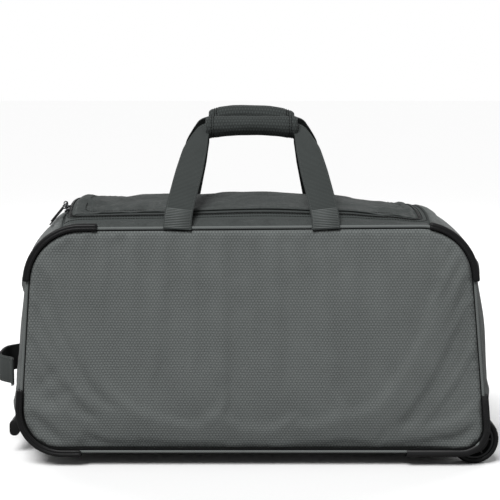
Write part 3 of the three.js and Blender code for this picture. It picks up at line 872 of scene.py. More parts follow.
def unit(vectors):
    vectors = np.asarray(vectors, float)
    return vectors / np.linalg.norm(vectors, axis=-1, keepdims=True)


# ---- Panels and gusset ----
PANEL_STEP = 6 * MM
PANEL_INSET = -2.3 * MM
PANEL_EDGE_Y, PANEL_FULL = 0.1546, 0.0128  # the seam, and how far the cloth stands out of it
BELLY_RISE = 0.092  # the height over which the cloth swells from the bottom seam


def panel_sheet(name, sign, materials):
    """A panel: its flat cut filled with even triangles, then crowned, its edge rolled into the seam."""
    edge = seam_point(np.arange(0, SEAM - 2 * MM, 4 * MM), PANEL_INSET)
    low, high = edge.min(axis=0), edge.max(axis=0)
    rows = np.arange(low[1], high[1], PANEL_STEP * math.sqrt(3) / 2)
    inner = [(x + (k % 2) * PANEL_STEP / 2, z) for k, z in enumerate(rows)
             for x in np.arange(low[0], high[0], PANEL_STEP)]
    inner = np.array(inner)
    away = np.min(np.linalg.norm(inner[:, None, :] - edge[None, ::2, :], axis=2), axis=1)
    inner = inner[away > 0.55 * PANEL_STEP]
    flat = [Vector(p) for p in np.concatenate([edge, inner])]
    ring = [(k, (k + 1) % len(edge)) for k in range(len(edge))]
    flat, _, faces, *_ = delaunay_2d_cdt(flat, ring, [], 1, 1e-7)
    flat = np.array([tuple(p) for p in flat])
    walls = edge[edge[:, 1] > 0.045]
    away = np.min(np.linalg.norm(flat[:, None, :] - walls[None, :, :], axis=2), axis=1)
    up = np.clip((flat[:, 1] - edge[:, 1].min()) / BELLY_RISE, 0, 1)
    side = 1 - 0.3 * np.exp(-away / 0.005) - 0.7 * np.exp(-away / 0.09)
    y = PANEL_EDGE_Y + PANEL_FULL * side * (1 - (1 - up) ** 2.3)
    points = np.stack([flat[:, 0], -sign * y, flat[:, 1]], axis=1)
    faces = [tuple(f) if sign > 0 else tuple(reversed(f)) for f in faces]
    return tidy(mesh_object(name, points, faces, materials, flat))


PANEL_CREASES = [  # soft folds that run in from the corners of the front panel
    ((-0.286, -0.16, 0.105), (-0.245, -0.16, 0.142), 0.007, 0.0016),
    ((-0.279, -0.16, 0.082), (-0.215, -0.16, 0.118), 0.008, 0.0012),
    ((-0.285, -0.16, 0.175), (-0.262, -0.16, 0.262), 0.008, 0.0012),
    ((0.285, -0.16, 0.165), (0.268, -0.16, 0.250), 0.009, 0.0010),
    ((0.250, -0.16, 0.060), (0.292, -0.16, 0.112), 0.008, 0.0010),
    ((-0.150, -0.16, 0.300), (-0.118, -0.16, 0.248), 0.011, 0.0010),
    ((0.150, -0.16, 0.302), (0.128, -0.16, 0.252), 0.011, 0.0010),
]


def build_panels():
    cloth = sizes().cloth
    for side, sign in BOTH:
        made = panel_sheet(f"{side}_panel_cloth", sign, [dobby_cloth(), lining_cloth()])
        settle(made, 0.012, 0.35, 0.6, 1.6 * MM)
        crease(made, [(mirrored(a, sign), mirrored(b, sign), w, d) for a, b, w, d in PANEL_CREASES])
        keep(thicken(made, cloth), "bag", "panel_cloth", f"{side}_panel")


LEFT_FOLDS = [  # start, end, width and depth; a negative depth stands out
    ((-0.318, -0.145, 0.150), (-0.314, -0.120, 0.290), 0.007, 0.0020),
    ((-0.322, -0.128, 0.190), (-0.312, -0.060, 0.270), 0.010, -0.0018),
    ((-0.326, -0.070, 0.170), (-0.322, 0.010, 0.250), 0.012, 0.0016),
]
RIGHT_FOLDS = [
    ((0.350, -0.128, 0.075), (0.342, -0.118, 0.265), 0.006, 0.0022),
    ((0.354, -0.100, 0.090), (0.342, -0.085, 0.280), 0.009, -0.0018),
    ((0.354, -0.040, 0.120), (0.340, 0.030, 0.270), 0.012, 0.0018),
]


def in_bezel(s, y):
    z = shell_point(s, 0)[2]
    return abs(y) < 0.090 and 0.0235 < z < 0.0625 and s < middle_of("bottom_left") + 0.08


def build_gusset():
    cloth = sizes().cloth
    outer, lining = gusset_cloth(), lining_cloth()
    half = GUSSET_EDGE
    zs = np.linspace(SPAN["bottom_left"][0], SPAN["bottom_left"][1] + 0.02, 800)
    height = shell_point(zs, 0)[:, 2]
    scoop = [zs[np.argmin(abs(height - z))] for z in (0.0235, 0.0625)]
    left = shell_sheet("left_end_cloth",
                       stops(BOTTOM_END - SEAM + 0.4 * MM, LID_LEFT - TAPE_BODY - 0.4 * MM, 5 * MM, *scoop),
                       stops(-half, half, 5 * MM, -0.090, 0.090), [outer, lining], drop=in_bezel)
    settle(left, 0.015, 0.5, 0.8, 2.2 * MM)
    right = shell_sheet("right_end_cloth", stops(LID_RIGHT + TAPE_BODY + 0.4 * MM, BOTTOM_START - 0.4 * MM,
                                                 5 * MM, SIDE_HOUSING + HOUSING_LAP),
                        stops(-half, half, 5 * MM, -HOUSING_INNER - HOUSING_LAP,
                              HOUSING_INNER + HOUSING_LAP), [outer, lining],
                        drop=lambda s,
                        y: s > SIDE_HOUSING + HOUSING_LAP and abs(y) > HOUSING_INNER + HOUSING_LAP)
    settle(right, 0.015, 0.5, 0.8, 2.2 * MM)
    under = shell_sheet("bottom_cloth", stops(BOTTOM_START, BOTTOM_END, 8 * MM, BOTTOM_HOUSING - HOUSING_LAP),
                        stops(-half, half, 8 * MM, -HOUSING_INNER - HOUSING_LAP,
                              HOUSING_INNER + HOUSING_LAP), [outer, lining],
                        drop=lambda s,
                        y: s < BOTTOM_HOUSING - HOUSING_LAP and abs(y) > HOUSING_INNER + HOUSING_LAP)
    for end_sheet, folds in ((left, LEFT_FOLDS), (right, RIGHT_FOLDS)):
        crease(end_sheet, [(mirrored(a, sign), mirrored(b, sign), w, d)
                           for a, b, w, d in folds for sign in (1, -1)])
    for made, node in ((left, "left_end_panel"), (right, "right_end_panel"), (under, "bottom_panel")):
        keep(thicken(made, cloth), "bag", "gusset_cloth", node)
    for side, y0, y1 in (("front", -half, STRIP_EDGE - 0.4 * MM), ("rear", HINGE_Y + 0.002, half)):
        made = shell_sheet(f"top_{side}_cloth", stops(LID_LEFT - TAPE_BODY, LID_RIGHT + TAPE_BODY, 4 * MM),
                           stops(y0, y1, 2.5 * MM), [lid_cloth(), lining])
        rumple(made, 0.030, 0.9 * MM, 3.0)
        keep(thicken(made, cloth), "bag", "gusset_cloth", f"top_{side}_strip")


# ---- Piping, and black strips of painted seam shade beside it ----
PIPING_OUT, PIPING_Y = 1.5 * MM, 0.154


def build_piping():
    radius = sizes().piping
    s = np.linspace(0, SEAM, 700, endpoint=False)
    turns = np.linspace(0, 2 * math.pi, 14, endpoint=False)
    for side, sign in BOTH:
        rings = []
        for at in s:
            ring = [(*seam_point(at, PIPING_OUT + radius * math.cos(t)), -PIPING_Y - radius * math.sin(t))
                    for t in turns]
            rings.append([(x, sign * y, z) for x, z, y in ring])
        made = sweep(f"{side}_piping_cord", rings, piping_cover(), closed=True)
        keep(made, "bag", "piping", f"{side}_piping")
        # Two black strips close the seam, inside and outside the piping: their black is painted shade for the
        # dark lines along it.
        for label, out, wide, y in (("inner", -3.4 * MM, 3.6 * MM, 0.1553),
                                    ("outer", 1.6 * MM, 1.9 * MM, 0.1512)):
            flat = [(out, -y), (out + wide, -y), (out + wide, -y + 0.002), (out, -y + 0.002)]
            section = rounded(flat, 0.5 * MM, 3)
            rings = [[(seam_point(at, o)[0], sign * w, seam_point(at, o)[1]) for o, w in section]
                     for at in s[::2]]
            keep(sweep(f"{side}_{label}_seam_shade_strip", rings, painted_seam_shade(), closed=True), "bag", "handle_lining")


# ---- Corner guards ----
GUARD_SPANS = {
    "bottom_left": (26 * MM, 26 * MM), "top_left": (3 * MM, 22 * MM), "top_right": (-12 * MM, 8 * MM),
}
GUARD_SECTION = [  # (out, y): over the face of the seam, then round its outside
    (-1.0, -159.8), (0.4, -160.4), (3.0, -160.4), (3.3, -160.0), (3.7, -160.4), (6.6, -160.4),
    (8.2, -158.6), (8.2, -147.5), (4.4, -147.5), (4.4, -157.5), (-1.0, -157.5),
]


def swept_guard(name, s0, s1, sign, material):
    section = rounded(np.array(GUARD_SECTION) * MM, 0.5 * MM, 3)
    ease = 3 * MM
    rings = []
    for s in stops(s0, s1, 2.5 * MM, s0 + ease / 2, s0 + ease, s1 - ease, s1 - ease / 2):
        near = min(s - s0, s1 - s, ease) / ease
        shrink = 0.72 + 0.28 * math.sqrt(max(0.0, 1 - (1 - near) ** 2))
        centre = section.mean(axis=0)
        ring = centre + (section - centre) * shrink
        p = seam_point(s, ring[:, 0])
        rings.append(np.stack([p[:, 0], sign * ring[:, 1], p[:, 1]], axis=1))
    return shade_by_angle(sweep(name, rings, material), 40)


def build_guards():
    rubber = guard_rubber()
    for side, sign in BOTH:
        rows = []
        for name, (before, after) in GUARD_SPANS.items():
            s0, s1 = SPAN[name][0] - before, SPAN[name][1] + after
            made = swept_guard(f"{side}_guard_{name}", s0, s1, sign, rubber)
            keep(made, "bag", "guard_rubber", f"{side}_corner_guard_{name}")
            s = stops(s0 + 4 * MM, s1 - 4 * MM, 3 * MM)
            p = seam_point(s, 1.1 * MM)
            rows.append((np.stack([p[:, 0], np.full(len(s), -sign * 0.1604), p[:, 1]], axis=1),
                         (0, -sign, 0)))
        keep(stitches(f"{side}_guard_stitches", rows, black_thread(), 0.1 * MM), "bag", "guard_rubber")


# ---- Lid and zip ----
ZIP_CORNER = 0.012
ZIP_REAR = HINGE_Y - 0.0016


ZIP_SIDE_POINTS, ZIP_FRONT_POINTS, ZIP_TURN_POINTS = 120, 260, 9


def zip_path(inset, corner):
    """(s, y) points of the zip's line, moved towards the lid by inset, from rear left round the front."""
    s0, s1, front = LID_LEFT + inset, LID_RIGHT - inset, ZIP_FRONT + inset
    side = np.linspace(ZIP_REAR, front + corner, ZIP_SIDE_POINTS)
    out = [(s0, y) for y in side]
    turns = np.linspace(0, math.pi / 2, ZIP_TURN_POINTS)[1:-1]
    out += [(s0 + corner * (1 - math.cos(t)), front + corner * (1 - math.sin(t))) for t in turns]
    out += [(s, front) for s in np.linspace(s0 + corner, s1 - corner, ZIP_FRONT_POINTS)]
    out += [(s1 - corner * (1 - math.sin(t)), front + corner * (1 - math.cos(t))) for t in turns]
    out += [(s1, y) for y in side[::-1]]
    return np.array(out)


def square_path(inset, corner):
    """The same points pushed out to a path with square corners."""
    s0, s1, front = LID_LEFT + inset, LID_RIGHT - inset, ZIP_FRONT + inset
    line = zip_path(inset, corner)
    for p in line:
        for edge, way in ((s0, 1), (s1, -1)):
            du, dv = (edge + way * corner - p[0]) * way, front + corner - p[1]
            if 0 < du < corner * 1.01 and 0 < dv < corner * 1.01:
                reach = corner / max(du, dv)
                p[0] = edge + way * (corner - du * reach)
                p[1] = front + corner - dv * reach
    return line


def tape(name, inner, outer, out, material):
    """A flat band between two matching paths on the shell."""
    lanes = [inner + (outer - inner) * t for t in np.linspace(0, 1, 5)]
    count = len(inner)
    points = np.concatenate([shell_point(lane[:, 0], lane[:, 1], out) for lane in lanes])
    along = np.concatenate([[0], np.cumsum(np.linalg.norm(np.diff(inner, axis=0), axis=1))])
    uv = np.concatenate([np.stack([along, np.full(count, k * 2.5 * MM)], axis=1) for k in range(5)])
    faces = []
    for lane in range(4):
        for k in range(count - 1):
            a = lane * count + k
            faces.append((a, a + 1, a + count + 1, a + count))
    made = mesh_object(name, points, faces, material, uv)
    up = normals_of(made.data)[:, 2].mean()
    if up < 0:
        made.data.flip_normals()
    return thicken(made, 0.9 * MM)


def lid_rim(s, y):
    """How far inside the lid's edge a point is; the rear edge is the fold and doesn't count."""
    inset = TAPE_LID + 0.4 * MM
    return np.minimum(np.minimum(s - LID_LEFT - inset, LID_RIGHT - inset - s), y - ZIP_FRONT - inset)


def lid_creases():
    """Folds that run back from the zipped edge at a slant, some pressed in and some raised."""
    pick = np.random.default_rng(11)
    lines = []
    for k in range(60):
        x, y = pick.uniform(-0.235, 0.285), pick.uniform(-0.118, 0.02 if k % 2 else 0.10)
        angle, reach = pick.uniform(0.15, 1.15) * pick.choice((-1, 1)), pick.uniform(0.030, 0.085)
        ends = [shell_point(top_at(x + t * reach * math.cos(angle)), y + t * reach * abs(math.sin(angle)))
                for t in (0, 1)]
        lines.append((*ends, pick.uniform(0.006, 0.012), pick.uniform(1.6, 3.6) * MM * pick.choice((-1, 1))))
    return lines


def build_lid():
    cloth = sizes().cloth
    inset = TAPE_LID + 0.4 * MM
    s = stops(LID_LEFT + inset, LID_RIGHT - inset, 4 * MM,
              *[LID_LEFT + inset + k * MM for k in (1, 2.5, 4, 6, 9)],
              *[LID_RIGHT - inset - k * MM for k in (1, 2.5, 4, 6, 9)])
    y = stops(ZIP_FRONT + inset, HINGE_Y - 0.8 * MM, 4 * MM,
              *[ZIP_FRONT + inset + k * MM for k in (1, 2.5, 4, 6, 9)])
    made = shell_sheet("lid_cloth", s, y, [lid_cloth(), lining_cloth()])
    settle(made, 0.020, 0.25, 1.2, 2.6 * MM)
    crease(made, lid_creases())
    grid_s, grid_y = (g.ravel() for g in np.meshgrid(s, y, indexing="ij"))
    away = np.maximum(lid_rim(grid_s, grid_y), 0)
    roll = 1.0 * MM * np.exp(-((away - 0.004) / 0.004) ** 2) - 0.9 * MM * np.exp(-((away - 0.0105) / 0.0022) ** 2)
    set_points(made.data, points_of(made.data) + normals_of(made.data) * roll[:, None])
    keep(thicken(made, cloth), "lid", "gusset_cloth", "lid_panel")
    build_zip()
    hinge = shell_sheet("lid_fold_seam", stops(LID_LEFT - 0.004, LID_RIGHT + 0.004, 5 * MM),
                        stops(HINGE_Y - 0.0045, HINGE_Y + 0.0045, 1 * MM), gusset_cloth(), out=0.5 * MM)
    thicken(hinge, 1.2 * MM)
    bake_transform(hinge)


def build_zip():
    cloth = zip_tape_cloth()
    body = tape("zip_tape_body", zip_path(-0.2 * MM, ZIP_CORNER),
                square_path(-TAPE_BODY - 4 * MM, ZIP_CORNER), -0.2 * MM, cloth)
    keep(body, "bag", "zip_tape", "zip_tape_body_side")
    lid = tape("zip_tape_lid", zip_path(0.2 * MM, ZIP_CORNER),
               square_path(TAPE_LID + 2 * MM, ZIP_CORNER - 5 * MM), 0.1 * MM, cloth)
    keep(lid, "lid", "zip_tape", "zip_tape_lid_side")
    pitch = sizes().zip_pitch
    for name, body_name, offset in (("zip_teeth_body", "bag", -0.7 * MM), ("zip_teeth_lid", "lid", 0.7 * MM)):
        line = zip_path(offset, ZIP_CORNER)
        row = shell_line(line[:, 0], line[:, 1], 0.5 * MM)
        teeth = row_of_bars(name, [(row[0], unit(row[1]))], coil_nylon(), pitch, 0.62 * MM, 2.4 * MM,
                            turn=math.pi / 2)
        keep(teeth, body_name, "zip_tape")
    rows = []
    for offset in (-3.2 * MM, -8.6 * MM):
        line = zip_path(offset, ZIP_CORNER)
        points, up = shell_line(line[:, 0], line[:, 1], 0.1 * MM)
        rows.append((points, unit(up)))
    keep(stitches("zip_tape_stitches", rows, black_thread(), 0.1 * MM), "bag", "zip_tape")
    line = zip_path(TAPE_LID + 10.5 * MM, ZIP_CORNER)
    points, up = shell_line(line[:, 0], line[:, 1], 0)
    keep(stitches("lid_edge_stitches", [(points, unit(up))], black_thread(), 0.2 * MM), "lid", "gusset_cloth")
    for side, body_name in (("front", "slider_front"), ("rear", "slider_rear")):
        refined(f"zip_slider_{side}", body_name, "zip_metal", enamelled_zinc(), 0.35 * MM)
        refined(f"zip_pull_{side}", body_name.replace("slider", "pull"), "pull_rubber", guard_rubber(),
                0.4 * MM)


# ---- Carry handles ----
FEET = (-0.088, 0.113)
GRIP_Y, GRIP_Z = -0.017, 0.4655
HANDLES = {  # rise of the grip, and the sleeve's length and radius
    "front": (0.0, 0.131, 0.0175),
    "rear": (0.009, 0.124, 0.0155),
}
HALF_STRAP = [  # across from the foot, y, z, and the band's width as a share of the webbing's
    (0.0, -0.1598, 0.3275, 1), (0.0015, -0.148, 0.347, 1), (0.007, -0.125, 0.3725, 1),
    (0.014, -0.095, 0.4015, 1),
    (0.021, -0.062, 0.4304, 0.9), (0.026, -0.041, 0.4467, 0.7), (0.029, -0.030, 0.4553, 0.58),
    (0.033, -0.0205, 0.4627, 0.5), (0.039, GRIP_Y, GRIP_Z, 0.5), (0.060, GRIP_Y, GRIP_Z, 0.5),
]
WEBBING_WIDTH, WEBBING_THICKNESS = 0.038, 0.0024
REAR_SAG = 0.0085  # the rear grip's ends hang below its middle
FRONT_WAIST = 0.0032  # the front grip is slimmer in its middle, on its underside
FRONT_DROP, REAR_LIFT, REAR_LEAN = 0.0050, 0.0031, 0.0013  # where the lifted grips rest, one over the other


def spline(points, count):
    """Centripetal Catmull-Rom curve through the points, and how far along the list each sample is."""
    points = np.asarray(points, float)
    ends = [2 * points[0] - points[1], *points, 2 * points[-1] - points[-2]]
    out, at = [], []
    spans = len(points) - 1
    for t in np.linspace(0, spans, count):
        k = min(int(t), spans - 1)
        p = ends[k : k + 4]
        knot = np.concatenate([[0], np.cumsum([max(np.linalg.norm(p[i + 1] - p[i]) ** 0.5, 1e-6)
                                               for i in range(3)])])
        u = knot[1] + (t - k) * (knot[2] - knot[1])
        a = [((knot[i + 1] - u) * p[i] + (u - knot[i]) * p[i + 1]) / (knot[i + 1] - knot[i])
             for i in range(3)]
        b = [((knot[i + 2] - u) * a[i] + (u - knot[i]) * a[i + 1]) / (knot[i + 2] - knot[i])
             for i in range(2)]
        out.append(((knot[2] - u) * b[0] + (u - knot[1]) * b[1]) / (knot[2] - knot[1]))
        at.append(t)
    return np.array(out), np.array(at)


def smooth(value, low, high):
    t = min(max((value - low) / (high - low), 0), 1)
    return t * t * (3 - 2 * t)


def strap_slope(z):
    low = 60 + (46 - 60) * smooth(z, 0.327, 0.372)
    return math.radians(low + (38 - low) * smooth(z, 0.372, 0.440))


def sag_at(side, along):
    """How far a grip hangs below its middle, at a distance from the middle as a share of half its sleeve."""
    if side == "front":
        return FRONT_DROP * (1 - smooth(along, 1, 1.25))
    return REAR_SAG * (along**3 if along < 1 else 1 - smooth(along, 1,
                                                             1.45)) - REAR_LIFT * (1 - smooth(along, 1, 1.45))


def strap_route(side):
    """Middle line, across direction, outward normal and width of a handle's webbing."""
    rise, sleeve_length, _ = HANDLES[side]
    half = []
    for x, y, z, w in HALF_STRAP:
        along = abs(FEET[0] + x - sum(FEET) / 2) / (sleeve_length / 2)
        half.append((FEET[0] + x, y, z + rise * smooth(z, 0.340, 0.440) - sag_at(side, along), w))
    other = [(sum(FEET) - x, y, z, w) for x, y, z, w in reversed(half)]
    rows = np.array(half + other)
    line, at = spline(rows[:, :3], 190)
    width = WEBBING_WIDTH * np.interp(at, np.arange(len(rows)), rows[:, 3])
    tangent = unit(np.gradient(line, axis=0))
    normal = np.array([(0, -math.sin(strap_slope(z)), math.cos(strap_slope(z))) for z in line[:, 2]])
    across = unit(np.cross(normal, tangent))
    return line, across, normal, width


def band(name, line, across, normal, width, thickness, material):
    """Webbing with soft edges along a route."""
    rings = []
    for p, a, n, w in zip(line, across, normal, width):
        h = thickness / 2
        section = rounded([(-w / 2, -h), (w / 2, -h), (w / 2, h), (-w / 2, h)], 0.9 * MM, 3)
        rings.append([p + a * u + n * v for u, v in section])
    made = sweep(name, rings, material)
    uv = made.data.uv_layers[0].data
    points = points_of(made.data)
    along = np.concatenate([[0], np.cumsum(np.linalg.norm(np.diff(line, axis=0), axis=1))])
    for loop in made.data.loops:
        k = loop.vertex_index // len(rings[0]) if loop.vertex_index < len(rings) * len(rings[0]) else 0
        side = float(np.dot(points[loop.vertex_index] - line[k], across[k]))
        uv[loop.index].uv = (along[k], side)
    return shade_by_angle(made, 50)


def wrap_form(side, x):
    """Change of a wrap's radius, and of its middle's height, at a distance x from the middle of its length."""
    along = min(abs(x) / (HANDLES[side][1] / 2), 1.0)
    waist = FRONT_WAIST * (1 - along**2) if side == "front" else 0.0
    lean = REAR_LEAN * x / (HANDLES[side][1] / 2) if side == "rear" else 0.0
    return -waist, waist - lean - sag_at(side, along)


def wrap_width(along):
    """The two wraps press together in their middles, where each is wider than it is high."""
    return 1 + 0.13 * max(0.0, 1 - along**2)


def handle_sleeve(side, sign):
    """The padded wrap round both ends of the grip: a rolled pad with an overlapping flap and bound ends."""
    rise, sleeve_length, radius = HANDLES[side]
    middle, half = sum(FEET) / 2, sleeve_length / 2
    flap = 1.3 * MM
    turns = np.linspace(0, 2 * math.pi, 56, endpoint=False)
    ends = [(0.005, 0.62), (0.001, 0.66), (0, 0.8), (0.0006, 0.91), (0.002, 0.96)]
    stations = [(-half + x, share) for x, share in ends]
    stations += [(x, 1.0) for x in np.linspace(-half + 0.004, half - 0.004, 60)]
    stations += [(half - x, share) for x, share in reversed(ends)]
    rings = []
    for x, share in stations:
        pinch = 0.9 * MM * sum(math.exp(-(((half - abs(x) - at) / 0.0013) ** 2)) for at in WRAP_SEAMS)
        slim, lift = wrap_form(side, x)
        wide = wrap_width(x / half)
        ring = []
        for t in turns:
            r = (radius - flap + slim + flap * (t / (2 * math.pi)) - pinch) * share
            r += 0.5 * MM * share * noise.noise(Vector((x * 60, math.cos(t) * 2,
                                                        math.sin(t) * 2 + rise * 50)))
            angle = t - 0.42 * math.pi
            z = GRIP_Z + rise + lift + r * 0.98 * math.sin(angle)
            ring.append((middle + x, sign * (GRIP_Y + wide * r * math.cos(angle)), z))
        rings.append(ring)
    return sweep(f"{side}_grip_wrap", rings, wrap_cloth())


WRAP_SEAMS = (0.0085, 0.0115)  # from each end of a wrap


def wrap_seams(side, sign):
    """Stitch lines round a wrap, two near each end."""
    rise, sleeve_length, radius = HANDLES[side]
    turns = np.linspace(0, 2 * math.pi, 60)
    around = np.stack([np.zeros(60), sign * np.cos(turns), np.sin(turns)], axis=1)
    rows = []
    for way in (-1, 1):
        for at in WRAP_SEAMS:
            x = way * (sleeve_length / 2 - at)
            slim, lift = wrap_form(side, x)
            centre = np.array((sum(FEET) / 2 + x, sign * GRIP_Y, GRIP_Z + rise + lift - 0.1 * MM))
            squash = np.array((1, wrap_width(x / (sleeve_length / 2)), 1))
            rows.append((centre + around * squash * (radius + slim - 1.1 * MM), around))
    return rows


def build_handles():
    webbing = ribbed_webbing()
    for side, sign in BOTH:
        line, across, normal, width = (mirrored(a, sign) if a.ndim == 2 else a for a in strap_route(side))
        body = f"{side}_handle"
        made = band(f"{side}_strap", line, across, normal, width, WEBBING_THICKNESS, webbing)
        keep(made, body, "webbing", f"{side}_handle_webbing")
        wrap = handle_sleeve(side, sign)
        keep(shade_by_angle(wrap, 60), body, "webbing", f"{side}_handle_sleeve")
        ribs, thread = [], []
        along = np.concatenate([[0], np.cumsum(np.linalg.norm(np.diff(line, axis=0), axis=1))])
        for end in (1, -1):
            distance = along if end > 0 else along[-1] - along
            for edge in (-1, 1):
                pick = (distance > 0.003) & (line[:, 2] < 0.448)
                pick &= (np.arange(len(line)) < len(line) / 2) == (end > 0)
                offset = (width / 2 - 2.2 * MM)[:, None] * across * edge
                thread.append(((line + offset)[pick], normal[pick]))
            pick = (distance > 0.002) & (distance < 0.030)
            ribs.append((line[pick], normal[pick]))
        keep(row_of_bars(f"{side}_strap_ribs", ribs, bar_tack_yarn(), 2.4 * MM, 0.8 * MM, 0.0345,
                         turn=math.pi / 2,
                         lift=1.2 * MM), body, "webbing")
        keep(stitches(f"{side}_strap_stitches", thread, grey_thread(), 1.25 * MM), body, "webbing")
        sewn = stitches(f"{side}_wrap_stitches", wrap_seams(side, sign), black_thread(), 0.2 * MM)
        keep(sewn, body, "webbing")


# ---- Grab handle on the left end ----
GRAB_Z, GRAB_WIDTH = 0.117, 0.038
GRAB_LINE = [
    (-0.3258, -0.082), (-0.329, -0.063), (-0.3375, -0.053), (-0.348, -0.040), (-0.3522, -0.020),
    (-0.3526, 0),
]


def build_grab_handle():
    route = GRAB_LINE + [(x, -y) for x, y in reversed(GRAB_LINE[:-1])]
    line, _ = spline([(x, y, GRAB_Z) for x, y in route], 110)
    tangent = unit(np.gradient(line, axis=0))
    across = np.tile((0.0, 0.0, 1.0), (len(line), 1))
    normal = unit(np.cross(across, tangent))
    normal *= -np.sign(normal[len(line) // 2, 0])
    width = np.full(len(line), GRAB_WIDTH)
    outer = band("grab_strap", line + normal * 0.1 * MM, across, normal, width, 2.2 * MM, ribbed_webbing())
    keep(outer, "bag", "webbing", "grab_handle_webbing")
    inner = band("grab_strap_lining", line - normal * 2.1 * MM, across, normal, width - 1 * MM, 1.4 * MM,
                 lining_cloth())
    keep(inner, "bag", "handle_lining", "grab_handle_lining")
    rows = []
    for edge in (-1, 1):
        rows.append((line[2:-2] + across[2:-2] * edge * 0.0165 + normal[2:-2] * 1.2 * MM, normal[2:-2]))
    for pick in (slice(4, 16), slice(-16, -4)):
        for edge in (-1, 1):
            lean = np.linspace(-edge, edge, 12)[:, None] * 0.0145
            rows.append((line[pick] + across[pick] * lean + normal[pick] * 1.2 * MM, normal[pick]))
    keep(stitches("grab_strap_stitches", rows, grey_thread(), 0.1 * MM), "bag", "webbing")


# ---- Wheels, housings, feet and base ----
WHEEL_X, WHEEL_Z, WHEEL_Y = 0.320, 0.034, 0.127


def build_wheels():
    steel = plated_steel()
    for side, sign in BOTH:
        centre = (WHEEL_X, -sign * WHEEL_Y, WHEEL_Z)
        body = f"wheel_{side}"
        tread = [(27, -13), (31.2, -14), (33.2, -11.5), (34, -8), (34, -1.2), (33.3, -0.7), (33.3, 0.7),
                 (34, 1.2),
                 (34, 8), (33.2, 11.5), (31.2, 14), (27, 13)]
        made = lathe(f"{side}_tyre", rounded(np.array(tread) * MM, 0.8 * MM, 3), centre, tyre_rubber(), 96)
        keep(shade_by_angle(made, 40), body, "tyre", f"{side}_wheel_tyre")
        rim = [(7.4, -12), (11, -12), (12, -6), (21, -5), (23.5, -12), (26.6, -12), (26.6, 12), (23.5, 12),
               (21, 5),
               (12, 6), (11, 12), (7.4, 12)]
        made = lathe(f"{side}_rim", rounded(np.array(rim) * MM, 0.7 * MM, 3), centre,
                     moulded("Nylon, glossy moulded", "#18191A", 0.3, 1.5, Specular_IOR_Level=0.5), 72)
        keep(shade_by_angle(made, 40), body, "wheel_core", f"{side}_wheel_core")
        for spoke in range(6):
            angle = spoke * math.pi / 3
            ends = []
            for r, w in ((10.8 * MM, 2.6 * MM), (24.2 * MM, 2.0 * MM)):
                ends.append([(centre[0] + r * math.cos(angle) - u * math.sin(angle), centre[1] + v,
                              centre[2] + r * math.sin(angle) + u * math.cos(angle))
                             for u, v in rounded([(-w / 2, -0.0102), (w / 2, -0.0102), (w / 2, 0.0102),
                                                  (-w / 2, 0.0102)], 0.6 * MM, 3)])
            made = sweep(f"{side}_rim_spoke_{spoke + 1}", ends, bpy.data.materials["Nylon, glossy moulded"])
            keep(shade_by_angle(made, 40), body, "wheel_core")
        refined(f"{side}_wheel_bearing", body, "steel", steel, 0.2 * MM)
        refined(f"{side}_wheel_axle", "bag", "steel", steel, 0.3 * MM)
        refined(f"{side}_axle_clip", "bag", "steel", steel, 0.2 * MM)
        refined(f"{side}_wheel_housing", "bag", "moulded_plastic", housing_plastic(), 0.7 * MM, 38)
        s = np.linspace(SPAN["bottom_right"][0] - 36 * MM, SPAN["bottom_right"][0] + 6 * MM, 30)
        lines = []
        for out in (1.2 * MM, 3.4 * MM, 5.6 * MM):
            p = seam_point(s, out)
            lines.append((np.stack([p[:, 0], np.full(len(s), -sign * 0.1602), p[:, 1]], axis=1),
                          (0, -sign, 0)))
        ribs = row_of_bars(f"{side}_guard_ribs", lines, guard_rubber(), 1.6 * MM, 0.55 * MM, 1.9 * MM)
        keep(ribs, "bag", "guard_rubber")


def build_base():
    for side, _ in BOTH:
        for node in ("foot", "skid_rail"):
            refined(f"{side}_{node}", "bag", "moulded_plastic", housing_plastic(), 1.5 * MM)
    refined("base_board", "bag", "board", board_sheet(), 0.6 * MM)


# ---- Trolley ----
def build_trolley():
    plastic, rubber, tube = housing_plastic(), guard_rubber(), drawn_aluminium()
    refined("trolley_bezel", "bag", "moulded_plastic", plastic, 0.5 * MM)
    refined("trolley_anchor", "bag", "moulded_plastic", plastic, 0.8 * MM)
    refined("trolley_grip", "trolley_inner", "guard_rubber", rubber, 0.5 * MM, 50)
    refined("trolley_button", "trolley_button", "moulded_plastic", plastic, 0.5 * MM)
    bodies = {"outer": "bag", "middle": "trolley_middle", "inner": "trolley_inner"}
    for side, _ in BOTH:
        for stage, body in bodies.items():
            refined(f"{side}_trolley_{stage}_tube", body, "aluminium", tube, 0.15 * MM, 60)
        refined(f"{side}_trolley_middle_collar", "trolley_middle", "moulded_plastic", plastic, 0.3 * MM, 50)


# ---- Stage ----
def light(name, kind, location, target, power, **settings):
    data = bpy.data.lights.new(name, kind)
    data.energy = power
    for key, value in settings.items():
        setattr(data, key, value)
    made = bpy.data.objects.new(name, data)
    made.location = location
    made.rotation_euler = (Vector(target) - Vector(location)).to_track_quat("-Z", "Y").to_euler()
    bpy.context.scene.collection.objects.link(made)


def studio_world():
    """A white backdrop behind the floor, which lights the bag less than it shows."""
    world = bpy.data.worlds.new("Studio")
    world.use_nodes = True
    tree = world.node_tree
    seen = add_node(tree, "ShaderNodeLightPath").outputs["Is Camera Ray"]
    background = tree.nodes["Background"]
    background.inputs["Color"].default_value = (1, 1, 1, 1)
    strength = add_node(tree, "ShaderNodeMapRange", {"Value": seen, "To Min": WORLD_LIGHT})
    tree.links.new(strength.outputs[0], background.inputs["Strength"])
    return world


WORLD_LIGHT, SUN_LIGHT, SUN_SPREAD = 0.22, 3.4, math.radians(30)
FLOOR_HALF = 60.0
FLOOR_BOUNCE = 0.22  # the share of light that the floor gives back to the bag


